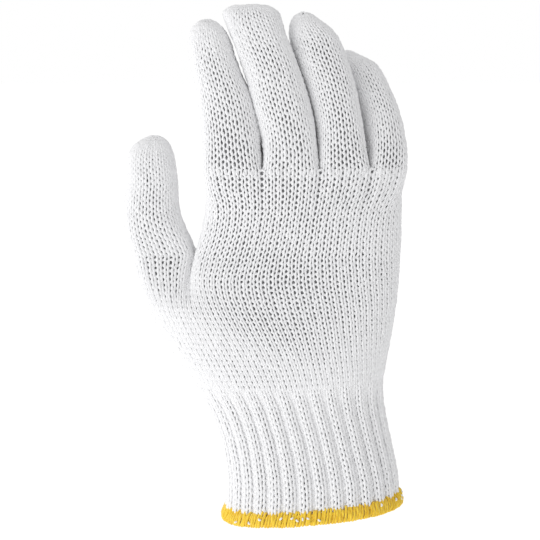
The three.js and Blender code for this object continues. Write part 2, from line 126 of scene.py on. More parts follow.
def along_outline(outline: Callable[[Array], Array], shares: Array) -> Array:
    """Returns the points at the given shares of an outline's length.

    Args:
        outline: Gives the outline's points for values from 0 to 1.
        shares: Shares of the whole length.

    Returns:
        One row of two coordinates for each share.
    """
    points = outline(np.linspace(0.0, 1.0, OUTLINE_STEPS + 1))
    steps = np.linalg.norm(np.diff(points, axis=0), axis=1)
    run = np.concatenate([[0.0], np.cumsum(steps)])
    return np.stack([np.interp(shares * run[-1], run, axis) for axis in points.T], axis=-1)


def fading(distances: Array, fade: float) -> Array:
    """Returns weights that fall smoothly from one at no distance or less to zero at the fade's end."""
    share = np.clip(distances / fade, 0.0, 1.0)
    return (1.0 - share) ** 2 * (1.0 + 2.0 * share)


def match_end(rings: Array, end: int, wanted: Array, distances: Array, fade: float) -> Array:
    """Shifts a stack of rings so that the ring at one end becomes the wanted one.

    Args:
        rings: The stack, as rows of wales of points.
        end: Index of the ring that is matched.
        wanted: The ring that it becomes.
        distances: How far each ring lies from that end.
        fade: Length over which the shift dies away.

    Returns:
        The shifted stack.
    """
    return rings + fading(distances, fade)[:, None, None] * (wanted - rings[end])


def span(ring: Array, first: int, last: int) -> Array:
    """Returns the wales of a ring from the first to the last, counting on past its end."""
    count = (last - first) % len(ring) + 1
    return ring[(first + np.arange(count)) % len(ring)]


def joined(spans: Sequence[Array]) -> Array:
    """Joins spans of wales end to end, across the crotches between them.

    Args:
        spans: The spans in order.

    Returns:
        One line, in which the two points that meet in each crotch are made one.
    """
    spans = [np.array(part) for part in spans]
    for before, after in zip(spans, spans[1:]):
        meeting, web = (before[-1] + after[0]) / 2.0, (before[-2] + after[1]) / 2.0
        before[-1] = after[0] = between(meeting, web, CROTCH_WEB)
    spaced = [respaced(part) for part in spans]
    return np.concatenate([spaced[0]] + [part[1:] for part in spaced[1:]])


def respaced(line: Array) -> Array:
    """Moves a line's points along it until they lie evenly.

    Args:
        line: The points, of which the first and the last are kept.

    Returns:
        As many points.
    """
    run = np.concatenate([[0.0], np.cumsum(np.linalg.norm(np.diff(line, axis=0), axis=1))])
    places = np.linspace(0.0, run[-1], len(line))
    return np.stack([np.interp(places, run, axis) for axis in line.T], axis=-1)


@dataclass(frozen=True)
class Section:
    """One cross-section of a knitted tube, on its own pair of axes."""

    centre: Array
    right: Array
    back: Array
    breadth: float
    depth: float
    arch: float = 0.0

    def outline(self, shares: Array) -> Array:
        """Returns flat points of the outline, from the middle of the front round to it."""
        u, v = superellipse(2.0 * np.pi * shares - np.pi / 2.0, ROUNDNESS).T
        return np.stack([u * self.breadth / 2.0, v * self.depth / 2.0 + self.arch * u * u], axis=-1)

    def ring(self, wales: int, front_middle: float, crowding: float = 0.0, slide: float = 0.0) -> Array:
        """Spreads wales round the section.

        Args:
            wales: How many there are.
            front_middle: The wale, whole or not, at the middle of the front.
            crowding: Share by which they lie closer at both sides, and wider at front and back.
            slide: How far those of the thumb's side are drawn on towards it, in wales.

        Returns:
            One point for each wale, anticlockwise as seen from above.
        """
        shares = (np.arange(wales) - front_middle) / wales
        turn = 2.0 * np.pi * shares
        drawn = np.cos(turn) ** 3 * (1.0 - np.sin(turn)) / 2.0
        shares = shares + crowding * np.sin(2.0 * turn) / (4.0 * np.pi) - slide / wales * drawn
        across, deep = along_outline(self.outline, shares % 1.0).T
        return self.centre + along(self.right, across) + along(self.back, deep)


@dataclass(frozen=True)
class Tube:
    """The rings of a digit with its tip as the last one, and the spine through their middles."""

    rings: Array
    spine: Array
    breadth: float

    def spine_at(self, heights: Array) -> Array:
        """Returns the spine's points at the given heights, or its nearest end."""
        return np.stack([np.interp(heights, self.spine[:, 2], axis) for axis in self.spine.T], axis=-1)

    def pressed_against(self, neighbour: Tube) -> Tube:
        """Flattens the digit where it lies against its neighbour.

        Args:
            neighbour: The digit beside it.

        Returns:
            The same digit, kept to its own side of the upright face between the two spines.
        """
        own = self.spine_at(self.rings[..., 2])
        across = neighbour.spine_at(self.rings[..., 2]) - own
        across[..., 2] = 0.0
        share = self.breadth / (self.breadth + neighbour.breadth)
        room = np.linalg.norm(across, axis=-1) * share + PRESS
        across = unit(across)
        over = np.maximum(((self.rings - own) * across).sum(axis=-1) - room, 0.0)
        over *= np.clip((neighbour.spine[-1, 2] - self.rings[..., 2]) / TIP_CLEARANCE, 0.0, 1.0)
        return Tube(self.rings - over[..., None] * across, self.spine, self.breadth)


class Fabric:
    """A smooth surface through a stack of rings, reached by wale and by height along it."""

    aside = 0.1  # how far to either side of a place its direction is measured, in wales
    above = 0.2  # how far above and below it

    def __init__(self, rings: Array, closed: bool = False) -> None:
        """Measures the stack.

        Args:
            rings: Rows of wales of points on the fabric's outer face.
            closed: Whether the last row is a digit's tip.
        """
        self.rings = rings
        self.wales = rings.shape[1]
        steps = np.linalg.norm(np.diff(rings, axis=0), axis=2).mean(axis=1)
        self.run = np.concatenate([[0.0], np.cumsum(steps)])
        self.slopes = np.gradient(rings, self.run, axis=0)
        if closed:
            inward = rings[-1] - rings[-2]
            axis = unit(inward.mean(axis=0))
            self.slopes[-1] = unit(inward - along(axis, inward @ axis))

    @property
    def length(self) -> float:
        """The mean distance from the first ring to the last."""
        return float(self.run[-1])

    def at(self, wale: Array, run: Array) -> Array:
        """Returns points of the outer face.

        Args:
            wale: Places round the tube, counted in wales.
            run: Places along it; past either end it goes straight on.

        Returns:
            One point for each pair of places.
        """
        row = np.clip(np.searchsorted(self.run, run, side="right") - 1, 0, len(self.run) - 2)
        gap = self.run[row + 1] - self.run[row]
        place = (run - self.run[row]) / gap
        t = np.clip(place, 0.0, 1.0)
        past = (place - t) * gap
        low, low_slope = (1.0 - t) ** 2 * (1.0 + 2.0 * t), (1.0 - t) ** 2 * t * gap
        high, high_slope = t * t * (3.0 - 2.0 * t), t * t * (t - 1.0) * gap
        low_slope = low_slope + np.where(past < 0.0, past, 0.0)
        high_slope = high_slope + np.where(past > 0.0, past, 0.0)
        column = np.floor(wale).astype(int)
        f = wale - column
        weights = (
            f * (-0.5 + f * (1.0 - 0.5 * f)),
            1.0 + f * f * (-2.5 + 1.5 * f),
            f * (0.5 + f * (2.0 - 1.5 * f)),
            f * f * (-0.5 + 0.5 * f),
        )
        total = np.zeros(wale.shape + (3,))
        for offset, weight in zip((-1, 0, 1, 2), weights):
            i = (column + offset) % self.wales
            total += (weight * low)[:, None] * self.rings[row, i]
            total += (weight * low_slope)[:, None] * self.slopes[row, i]
            total += (weight * high)[:, None] * self.rings[row + 1, i]
            total += (weight * high_slope)[:, None] * self.slopes[row + 1, i]
        return total

    def outward(self, wale: Array, run: Array) -> Array:
        """Returns the fabric's outward directions.

        Args:
            wale: Places round the tube, counted in wales.
            run: Places along it.

        Returns:
            One direction for each pair of places.
        """
        around = self.at(wale + self.aside, run) - self.at(wale - self.aside, run)
        upwards = self.at(wale, run + self.above) - self.at(wale, run - self.above)
        return unit(np.cross(around, upwards))

    def pitch(self, run: float) -> float:
        """Returns how far apart the wales lie at one height."""
        ring = self.at(np.arange(self.wales, dtype=float), np.full(self.wales, run))
        return float(np.linalg.norm(ring - np.roll(ring, 1, axis=0), axis=1).mean())


@dataclass(frozen=True)
class Strand:
    """A length of yarn: its centre line, which way its fabric faces, and its radii."""

    centres: Array
    facing: Array
    radii: Array
    closed: bool = True


def linked(name: str, data: bpy.types.ID) -> bpy.types.Object:
    """Returns a new object of the given data, which is put into the scene."""
    made = bpy.data.objects.new(name, data)
    bpy.context.scene.collection.objects.link(made)
    return made


class YarnMesh:
    """Gathers strands into one mesh of round tubes, and the fabric's inner face behind them, a sheet in
    painted shade.
    """

    strand_share = 0.9  # of the baking map; what is left is the inner face's

    def __init__(self, name: str, sides: int) -> None:
        """Starts an empty mesh.

        Args:
            name: The piece's name.
            sides: How many sides each tube has.
        """
        self.name = name
        self.sides = sides
        self.points: list[Array] = []
        self.faces: list[Array] = []
        self.lengths: list[Array] = []
        self.slots: list[Array] = []
        self.face_places: list[Array] = []
        self.count = 0

    def add(self, strand: Strand, slot: int = 0) -> None:
        """Sweeps one strand into a tube.

        Args:
            strand: The strand, whose last point runs on to its first if it is closed.
            slot: Index of its material.
        """
        centres = strand.centres
        steps = len(centres)
        if strand.closed:
            heading = unit(np.roll(centres, -1, axis=0) - np.roll(centres, 1, axis=0))
        else:
            heading = unit(np.gradient(centres, axis=0))
        aside = unit(np.cross(heading, strand.facing))
        proud = np.cross(aside, heading)
        angles = 2.0 * np.pi * np.arange(self.sides)[None, :, None] / self.sides
        ring = np.cos(angles) * proud[:, None] + np.sin(angles) * aside[:, None]
        self.points.append((centres[:, None] + strand.radii[:, None, None] * ring).reshape(-1, 3))
        spans = steps if strand.closed else steps - 1
        here = np.arange(spans)[:, None] * self.sides
        above = ((np.arange(spans) + 1) % steps)[:, None] * self.sides
        side = np.arange(self.sides)[None, :]
        beside = (side + 1) % self.sides
        quads = np.stack([here + side, here + beside, above + beside, above + side], axis=-1)
        self.faces.append(quads.reshape(-1, 4) + self.count)
        pieces = np.linalg.norm(np.roll(centres, -1, axis=0) - centres, axis=1)[:spans]
        run = np.concatenate([[0.0], np.cumsum(pieces)])
        self.lengths.append(np.stack([run[:-1], run[1:]], axis=-1))
        self.slots.append(np.full(spans * self.sides, slot))
        self.count += steps * self.sides

    def back(self, sheet: Array, wales: int, slot: int) -> None:
        """Lays the fabric's inner face, a sheet in painted shade, behind the strands once they are all
        there.

        Args:
            sheet: Rows of points, one row to a course, each of which closes round.
            wales: How many wales a row goes round.
            slot: Index of its material.
        """
        rows, columns = sheet.shape[0] - 1, sheet.shape[1]
        column = np.arange(columns)
        corners = ((0, column), (0, (column + 1) % columns), (1, (column + 1) % columns), (1, column))
        row = np.arange(rows)[:, None]
        quads = np.stack([(row + up) * columns + place for up, place in corners], axis=-1)
        self.points.append(sheet.reshape(-1, 3))
        self.faces.append(quads.reshape(-1, 4) + self.count)
        across = np.broadcast_to(column[:, None] + np.array([0.0, 1.0, 1.0, 0.0]), quads.shape)
        upwards = np.broadcast_to(row[..., None] + np.array([0.0, 0.0, 1.0, 1.0]), quads.shape)
        places = np.stack([across / columns, upwards / rows], axis=-1).reshape(-1, 4, 2)
        self.face_places.append(places)
        self.face_places.append(places * np.array([wales, rows]))
        self.slots.append(np.full(rows * columns, slot))
        self.count += sheet.shape[0] * columns

    def build(self, materials: Sequence[bpy.types.Material]) -> bpy.types.Object:
        """Makes the object, with a yarn map in millimetres and a map for baking.

        Args:
            materials: The materials of its slots.

        Returns:
            The new object, at the origin and in metres.
        """
        points, faces = np.concatenate(self.points) * MM, np.concatenate(self.faces)
        mesh = bpy.data.meshes.new(self.name)
        mesh.vertices.add(len(points))
        mesh.vertices.foreach_set("co", points.astype(np.float32).ravel())
        mesh.loops.add(faces.size)
        mesh.loops.foreach_set("vertex_index", faces.astype(np.int32).ravel())
        mesh.polygons.add(len(faces))
        mesh.polygons.foreach_set("loop_start", np.arange(0, faces.size, 4, dtype=np.int32))
        mesh.polygons.foreach_set("material_index", np.concatenate(self.slots).astype(np.int32))
        mesh.update(calc_edges=True)
        mesh.polygons.foreach_set("use_smooth", np.ones(len(faces), dtype=bool))
        self._map(mesh)
        for material in materials:
            mesh.materials.append(material)
        mesh.validate()
        return linked(self.name, mesh)

    def _map(self, mesh: bpy.types.Mesh) -> None:
        """Lays every face out twice: in lengths and wales, and packed into rows for baking.

        Args:
            mesh: The mesh that gets both maps.
        """
        lengths = np.concatenate(self.lengths)
        segments = len(lengths)
        around = np.arange(self.sides) / self.sides
        v = np.stack([around, around + 1.0 / self.sides], axis=-1)[None, :, [0, 1, 1, 0]]
        v = np.broadcast_to(v, (segments, self.sides, 4))
        u = np.broadcast_to(lengths[:, None, [0, 0, 1, 1]], v.shape)
        own = np.stack([u, v], axis=-1).reshape(-1, 4, 2)
        columns = math.ceil(math.sqrt(segments * self.sides))
        rows = math.ceil(segments / columns)
        segment = np.arange(segments)[:, None, None]
        left = np.broadcast_to((segment % columns + np.array([0.0, 0.0, 1.0, 1.0])) / columns, v.shape)
        upwards = (segment // columns + v) / rows * self.strand_share
        packed = np.stack([left, upwards], axis=-1).reshape(-1, 4, 2)
        if self.face_places:
            whole, counted = self.face_places
            own = np.concatenate([own, counted])
            above = whole * [1.0, 1.0 - self.strand_share] + [0.0, self.strand_share]
            packed = np.concatenate([packed, above])
        for name, places in ((YARN_MAP, own), ("OFBake", packed)):
            layer = mesh.uv_layers.new(name=name)
            layer.uv.foreach_set("vector", places.astype(np.float32).ravel())


@dataclass(frozen=True)
class Stitch:
    """The shape of one plain stitch, as its yarn runs through it."""

    course: float = 2.5  # height of one course, about
    lean: float = 0.19  # how far the legs close in under the head, in wales
    spread: float = 0.0  # how far the legs stand apart, so that holes inside loops are larger
    skew: float = 0.03  # how far the head strays to the right of the feet, in wales
    reach: float = 0.75  # how far the head stands above the course's middle, in courses
    depth: float = 0.32  # how far the legs come forward, and head and feet go back
    radius: float = 0.57
    swell: float = 0.12  # share by which the yarn is fatter in its head and feet
    uneven: float = 0.045  # how far a head or foot strays, in wales and courses
    tension: float = 0.1  # share by which the yarn lies fatter and thinner from place to place
    side_filling: float = 0.3  # share by which it is fatter at both sides, where wales crowd
    right_filling: float = 0.0  # share by which it is fatter over the little finger's side
    right_rise: float = 3.0  # how fast that comes in as the fabric turns to that side
    foot_filling: float = 0.0  # share by which it is fatter at the zone's foot
    foot_fade: float = 26.0  # height over which that dies away
    top_filling: float = 0.0  # share by which it is fatter at the zone's top
    top_fade: float = 60.0  # height over which that dies away
    steps: int = 10
    sides: int = 5


def eased(values: Array, place: Array) -> Array:
    """Eases from each value to the next.

    Args:
        values: One value for each half stitch, the first of which follows the last.
        place: Places counted in stitches.

    Returns:
        The value at each place.
    """
    low = np.floor(place * 2.0).astype(int)
    share = (1.0 - np.cos(np.pi * (place * 2.0 - low))) / 2.0
    return between(values[low % len(values)], values[(low + 1) % len(values)], share)


class Knitting:
    """Knits one zone's fabric, course by course, into a mesh of yarn."""

    open_top = True
    first = 0.5  # how far up the middle of the first course lies, in courses
    tip_margin = 0.3  # how far below a digit's tip the yarn stays
    tip_opening = 0.8  # what the inner face leaves open there
    wave_counts = (1, 2, 3, 5)  # how often round the zone each wave of tension comes
    wave_rises = (18.0, 40.0)  # least and greatest height of a wave

    def __init__(self, node: str, fabric: Fabric, stitch: Stitch, seed: int) -> None:
        """Sets the work up.

        Args:
            node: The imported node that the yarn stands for.
            fabric: The surface that it follows.
            stitch: The shape of its stitches.
            seed: Seed of its small unevennesses.
        """
        self.node = node
        self.fabric = fabric
        self.stitch = stitch
        self.random = np.random.default_rng(seed)
        least, greatest = zip(self.wave_rises, (0.0, 2.0 * np.pi))
        self.waves = [(count, *self.random.uniform(least, greatest)) for count in self.wave_counts]

    def fullness(self, wale: Array, run: Array, facing: Array) -> Array:
        """Returns how fat the yarn lies, as a share of its radius.

        Args:
            wale: Places round the tube, counted in wales.
            run: Places along it.
            facing: Its outward directions there.

        Returns:
            One share for each place.
        """
        shape = self.stitch
        swings = [
            np.sin(2.0 * np.pi * (count * wale / self.fabric.wales + run / rise) + phase)
            for count, rise, phase in self.waves
        ]
        closing = shape.side_filling * facing[:, 0] ** 2
        closing += shape.right_filling * np.clip(shape.right_rise * facing[:, 0], 0.0, 1.0)
        closing += shape.foot_filling * fading(run, shape.foot_fade)
        closing += shape.top_filling * fading(self.fabric.length - run, shape.top_fade)
        return 1.0 + closing + shape.tension * np.mean(swings, axis=0)

    def inset(self, wale: Array, run: Array) -> Array:
        """Returns how far the yarn's middle lies inside the outer face."""
        return np.full(wale.shape, YARN_INSET)

    def warped(self, wale: Array, run: Array) -> Array:
        """Returns where each place round the tube is drawn to."""
        return wale

    def course(self, run: float, height: float, stitches: int) -> Strand:
        """Lays the yarn of one course.

        Args:
            run: Height of the course's middle along the fabric.
            height: Height of one course.
            stitches: How many stitches go round.

        Returns:
            The closed strand.
        """
        shape = self.stitch
        place = np.arange(stitches * shape.steps) / shape.steps
        turn = 2.0 * np.pi * place
        stray = self.random.normal(0.0, shape.uneven, (3, 2 * stitches))
        wale = place + shape.lean * np.sin(2.0 * turn) + shape.spread * np.sin(turn)
        wale += shape.skew * np.cos(turn) + eased(stray[0], place)
        wale = wale * self.fabric.wales / stitches
        level = run + height * (shape.reach * np.cos(turn) + eased(stray[1], place))
        level = np.minimum(level, self.fabric.length + (height if self.open_top else -self.tip_margin))
        proud = -shape.depth * np.cos(2.0 * turn) + height * eased(stray[2], place) - self.inset(wale, level)
        wale = self.warped(wale, level)
        facing = self.fabric.outward(wale, level)
        centres = self.fabric.at(wale, level) + proud[:, None] * facing
        radii = shape.radius * (1.0 + shape.swell * np.cos(2.0 * turn))
        return Strand(centres, facing, radii * self.fullness(wale, level, facing))

    def courses(self) -> list[Strand]:
        """Lays every course of a zone that is open at both ends.

        Returns:
            One closed strand for each course, from the foot up.
        """
        count = round(self.fabric.length / self.stitch.course)
        height = self.fabric.length / count
        return [self.course((j + self.first) * height, height, self.fabric.wales) for j in range(count)]

    def knit(self, slot: Slot) -> bpy.types.Object:
        """Makes the zone's piece.

        Args:
            slot: The material slot of its yarn.

        Returns:
            The piece, riding on the root in place of its node.
        """
        mesh = YarnMesh(f"{self.node}_yarn", self.stitch.sides)
        strands = self.courses()
        for strand in strands:
            mesh.add(strand)
        # Behind the yarn, a dark sheet in painted shade that darkens the holes between stitches.
        mesh.back(self.inner_face(), self.fabric.wales, 1)
        made = mesh.build([FINISHES[slot].material(), PAINTED_SHADE_INNER_FACE.material()])
        LOG.info("%s: %d courses, %d faces", made.name, len(strands), len(made.data.polygons))
        return placed(made, self.node)

    def inner_face(self) -> Array:
        """Lays the inner face behind the stitches, a sheet in painted shade that darkens the holes between
        them.

        Returns:
            One row of points to a course, two to a wale.
        """
        wale = np.arange(2 * self.fabric.wales) / 2.0
        top = self.fabric.length if self.open_top else self.fabric.length - self.tip_opening
        sheet = []
        for level in np.linspace(0.0, top, round(self.fabric.length / self.stitch.course) + 1):
            run = np.full(wale.shape, level)
            place = self.warped(wale, run)
            inset = self.inset(wale, run) + INNER_FACE_INSET - YARN_INSET
            sheet.append(self.fabric.at(place, run) - inset[:, None] * self.fabric.outward(place, run))
        return np.array(sheet)


class DigitKnitting(Knitting):
    """Knits a digit up to its tip, with fewer stitches where it closes."""

    open_top = False
    first = 0.35
    closing = 0.4  # what is left above the last course, in courses
    narrowing = ((0.34, 1), (0.18, 2), (0.0, 4))  # share of the full pitch, and what divides the stitches

    def courses(self) -> list[Strand]:
        """Lays every course from the root to the tip.

        Returns:
            One closed strand for each course, from the root up.
        """
        count = round(self.fabric.length / self.stitch.course - self.closing)
        height = self.fabric.length / (count + self.closing + self.first - 0.5)
        full = self.fabric.pitch(0.0)
        strands = []
        for j in range(count):
            run = (j + self.first) * height
            share = self.fabric.pitch(run) / full
            divisor = next(by for least, by in self.narrowing if share >= least)
            strands.append(self.course(run, height, self.fabric.wales // divisor))
        return strands


@dataclass(frozen=True)
class Digit:
    """A finger or the thumb: its sizes, and its sections from root to tip.

    Each section holds shares of the rise, lean, curl, breadth and depth.
    """

    node: str
    rise: float
    breadth: float
    depth: float
    lean: float
    curl: float
    yaw: float
    front: int
    side: int
    course: float
    sections: tuple[tuple[float, float, float, float, float], ...]
    radius: float = 0.57  # of its yarn
    root_filling: float = 0.0  # share by which its yarn is fatter at the root

    @property
    def wales(self) -> int:
        """How many wales go round the digit."""
        return 2 * (self.front + self.side)

    def root(self, left: Array, right: Array) -> Array:
        """Lays the root ring out between two walls.

        Args:
            left: The left wall's front and back points.
            right: The right wall's front and back points.

        Returns:
            The ring, from the front left corner along the front, up the right side and round.
        """
        over = unit(right[0] - left[0]) * PRESS
        left, right = left - over, right + over
        parts = []
        corners = np.radians([-180.0 + ROOT_CORNER, -ROOT_CORNER, ROOT_CORNER, 180.0 - ROOT_CORNER])
        turns = (np.roll(corners, -1) - corners) % (2.0 * np.pi)
        for first, turn, count in zip(corners, turns, (self.front, self.side) * 2):
            flat = along_outline(
                lambda share: superellipse(first + share * turn, ROOT_SQUARENESS),
                np.arange(count) / count,
            )
            u, v = ((flat + 1.0) / 2.0).T[..., None]
            parts.append(between(between(left[0], right[0], u), between(left[1], right[1], u), v))
        return np.concatenate(parts)

    def tube(self, left: Array, right: Array) -> Tube:
        """Lays the digit's rings out from its root between two walls.

        Args:
            left: The left wall's front and back points.
            right: The right wall's front and back points.

        Returns:
            The digit's rings and spine.
        """
        root = self.root(left, right)
        up, lean, curl, breadth, depth = np.array(self.sections).T
        offsets = np.stack([-lean * self.lean, curl * self.curl, up * self.rise], axis=-1)
        spine = root.mean(axis=0) + offsets
        yaw = math.radians(self.yaw)
        across = np.array([math.cos(yaw), math.sin(yaw), 0.0])
        rings = []
        upright = fading(up * self.rise, ROOT_FADE) + fading((1.0 - up) * self.rise, TIP_FADE)
        for i in range(len(spine) - 1):
            leaning = unit(spine[i + 1] - spine[max(i - 1, 0)])
            heading = unit(between(leaning, UP, min(upright[i], 1.0)))
            right_way = unit(across - heading * (across @ heading))
            section = Section(
                spine[i],
                right_way,
                np.cross(heading, right_way),
                breadth[i] * self.breadth,
                depth[i] * self.depth,
            )
            rings.append(section.ring(self.wales, self.front / 2.0, SIDE_CROWDING))
        rings.append(np.tile(spine[-1], (self.wales, 1)))
        stack = match_end(np.array(rings), 0, root, up * self.rise, ROOT_FADE)
        return Tube(stack, spine, self.breadth)

    def knit(self, tube: Tube, seed: int) -> bpy.types.Object:
        """Knits the digit's yarn.

        Args:
            tube: The digit's tube.
            seed: Seed of the small unevennesses.

        Returns:
            The digit's piece.
        """
        fabric = Fabric(tube.rings, closed=True)
        stitch = Stitch(
            self.course, radius=self.radius, foot_filling=self.root_filling, top_filling=TIP_FILLING
        )
        return DigitKnitting(self.node, fabric, stitch, seed).knit(Slot.KNIT)


INDEX_FINGER = Digit(
    "index_finger", 67.6, 26.0, 24.0, 12.4, 7, -6, 8, 6, 2.8,
    (
        (0.0, 0.0, 0.0, 1.0, 1.0),
        (0.12, 0.05, 0.03, 1.02, 0.98),
        (0.245, 0.11, 0.1, 1.03, 0.96),
        (0.45, 0.31, 0.28, 0.95, 0.92),
        (0.585, 0.54, 0.42, 0.84, 0.89),
        (0.72, 0.75, 0.59, 0.78, 0.84),
        (0.857, 0.91, 0.78, 0.71, 0.75),
        (0.93, 0.96, 0.88, 0.56, 0.6),
        (0.975, 0.99, 0.95, 0.34, 0.38),
        (1.0, 1.0, 1.0, 0.0, 0.0),
    ),
)
MIDDLE_FINGER = Digit(
    "middle_finger", 73.8, 24.8, 24.5, 19.0, 9, 1, 8, 6, 2.8,
    (
        (0.0, 0.0, 0.0, 1.0, 1.0),
        (0.098, 0.0, 0.02, 0.98, 0.97),
        (0.28, 0.1, 0.12, 1.03, 0.94),
        (0.466, 0.3, 0.28, 1.04, 0.91),
        (0.613, 0.47, 0.44, 0.99, 0.88),
        (0.773, 0.73, 0.66, 1.0, 0.81),
        (0.896, 0.9, 0.83, 1.06, 0.67),
        (0.957, 0.94, 0.92, 1.01, 0.52),
        (0.988, 0.945, 0.97, 0.77, 0.34),
        (1.0, 0.95, 1.0, 0.0, 0.0),
    ),
    radius=0.62,
)
RING_FINGER = Digit(
    "ring_finger", 70.8, 22.3, 23.0, 16.6, 14, 9, 7, 6, 2.55,
    (
        (0.0, 0.0, 0.0, 1.0, 1.0),
        (0.104, 0.03, 0.03, 0.97, 0.98),
        (0.3, 0.1, 0.14, 0.97, 0.95),
        (0.49, 0.28, 0.31, 0.99, 0.92),
        (0.69, 0.56, 0.54, 1.01, 0.89),
        (0.786, 0.72, 0.66, 0.96, 0.85),
        (0.883, 0.92, 0.81, 0.8, 0.74),
        (0.948, 1.0, 0.91, 0.57, 0.54),
        (0.983, 1.02, 0.97, 0.33, 0.32),
        (1.0, 1.02, 1.0, 0.0, 0.0),
    ),
)
LITTLE_FINGER = Digit(
    "little_finger", 53.4, 17.6, 20.5, 15.6, 20, 24, 6, 6, 2.5,
    (
        (0.0, 0.0, 0.0, 1.0, 1.0),
        (0.138, -0.04, 0.05, 1.02, 0.98),
        (0.397, 0.06, 0.22, 1.01, 0.94),
        (0.655, 0.38, 0.5, 0.97, 0.89),
        (0.784, 0.59, 0.67, 0.92, 0.84),
        (0.897, 0.82, 0.83, 0.75, 0.7),
        (0.957, 0.95, 0.93, 0.52, 0.5),
        (0.986, 0.99, 0.97, 0.3, 0.29),
        (1.0, 1.0, 1.0, 0.0, 0.0),
    ),
)
THUMB = Digit(
    "thumb", 53.3, 28.2, 25.0, 5.5, 8, 0, 8, 6, 2.5,
    (
        (0.0, 0.0, 0.0, 1.0, 1.0),
        (0.086, 0.33, 0.03, 0.98, 0.98),
        (0.172, 0.72, 0.08, 0.96, 0.96),
        (0.3, 1.03, 0.18, 0.94, 0.94),
        (0.43, 1.07, 0.3, 0.89, 0.9),
        (0.56, 1.0, 0.44, 0.84, 0.88),
        (0.69, 1.08, 0.6, 0.82, 0.86),
        (0.8, 1.12, 0.74, 0.77, 0.79),
        (0.88, 1.05, 0.84, 0.67, 0.67),
        (0.945, 0.95, 0.93, 0.47, 0.47),
        (0.98, 0.85, 0.98, 0.27, 0.27),
        (1.0, 0.82, 1.0, 0.0, 0.0),
    ),
    radius=0.63,
    root_filling=0.3,
)
FINGERS = (INDEX_FINGER, MIDDLE_FINGER, RING_FINGER, LITTLE_FINGER)


@dataclass(frozen=True)
class FourFingerPalm:
    """The palm's upper zone, from the thumb's crotch to the fingers' crotches.

    Each section holds its height as a share of the zone's, and shares of the knuckles' breadth,
    of the palm's depth, of the way from palm shift to knuckle shift, and of the knuckles' arch.
    """

    node: str = "palm_four_finger"
    knuckle_shift: float = 4.35
    fade: float = 24.0
    sections: tuple[tuple[float, float, float, float, float], ...] = (
        (0.0, 1.06, 1.0, 0.0, 0.35),
        (0.25, 1.03, 0.95, 0.6, 0.5),
        (0.55, 1.005, 0.89, 1.05, 0.7),
        (0.8, 0.99, 0.84, 1.0, 0.9),
        (1.0, 1.0, 0.8, 1.0, 1.0),
    )

    def walls(self) -> Array:
        """Sets out the walls beside and between the fingers' roots.

        Returns:
            Each wall's front and back points, from the thumb's side on.
        """
        yaws = np.radians([finger.yaw for finger in FINGERS])
        steps = np.stack([np.cos(yaws), np.sin(yaws), 0.0 * yaws], axis=-1)
        steps *= np.array([finger.breadth for finger in FINGERS])[:, None]
        row = np.concatenate([np.zeros((1, 3)), np.cumsum(steps, axis=0)])
        shift = np.array([-self.knuckle_shift - row[-1, 0] / 2.0, PALM_SETBACK, FINGER_CROTCH])
        depths = np.array([finger.depth for finger in FINGERS])
        beside = [slice(max(i - 1, 0), i + 1) for i in range(len(row))]
        turns = np.array([yaws[pair].mean() for pair in beside]) + np.pi / 2.0
        halves = np.array([depths[pair].mean() for pair in beside])[:, None] / 2.0
        half = np.stack([np.cos(turns), np.sin(turns), 0.0 * turns], axis=-1) * halves
        return np.stack([row + shift - half, row + shift + half], axis=1)

    def rings(self, roots: Sequence[Array], walls: Array) -> tuple[Array, float]:
        """Lays the zone's rings out under the fingers' roots.

        Args:
            roots: The fingers' root rings.
            walls: The walls between them.

        Returns:
            The stack of rings, and the wale at the middle of the front.
        """
        pairs = list(zip(FINGERS, roots))
        fronts = joined([span(ring, 0, finger.front) for finger, ring in pairs])
        backs = joined(
            [span(ring, f.front + f.side, 2 * f.front + f.side) for f, ring in reversed(pairs)]
        )
        outer = span(roots[-1], LITTLE_FINGER.front + 1, LITTLE_FINGER.front + LITTLE_FINGER.side - 1)
        thumb_side = span(roots[0], 2 * INDEX_FINGER.front + INDEX_FINGER.side + 1, INDEX_FINGER.wales - 1)
        top = np.concatenate([fronts, outer, backs, thumb_side])
        front_middle = (len(fronts) - 1) / 2.0
        (left, _, _), (right, _, _) = walls[0].mean(axis=0), walls[-1].mean(axis=0)
        arch = (walls[0, :, 1].sum() + walls[-1, :, 1].sum()) / 4.0 - PALM_SETBACK
        rings = []
        for up, breadth, depth, shift, arched in self.sections:
            centre = (-between(PALM_SHIFT, self.knuckle_shift, shift), PALM_SETBACK)
            section = Section(
                np.array([*centre, THUMB_CROTCH + up * KNUCKLE_LENGTH]),
                RIGHT,
                BACK,
                breadth * (right - left),
                depth * PALM_DEPTH,
                arched * arch,
            )
            rings.append(section.ring(len(top), front_middle))
        distances = (1.0 - np.array(self.sections)[:, 0]) * KNUCKLE_LENGTH
        return match_end(np.array(rings), -1, top, distances, self.fade), front_middle

    def knit(self, rings: Array) -> bpy.types.Object:
        """Knits the zone's yarn."""
        stitch = Stitch(2.7, spread=0.04, right_filling=0.2, top_filling=0.06, top_fade=14.0)
        return Knitting(self.node, Fabric(rings), stitch, 5).knit(Slot.KNIT)


def rolled_section(centre: Array, roll: float, breadth: float, depth: float) -> Section:
    """Lays out a section of the heel or the cuff.

    Args:
        centre: Its middle.
        roll: How far it is turned round the Y axis, in degrees.
        breadth: Its breadth.
        depth: Its depth.

    Returns:
        The section.
    """
    turn = math.radians(roll)
    right = np.array([math.cos(turn), 0.0, math.sin(turn)])
    return Section(centre, right, BACK, breadth, depth)


@dataclass(frozen=True)
class Wrist:
    """The ring where the five-finger palm runs on as the cuff."""

    breadth: float = 87.0
    depth: float = 48.0
    shift: float = 10.8
    roll: float = 2.5


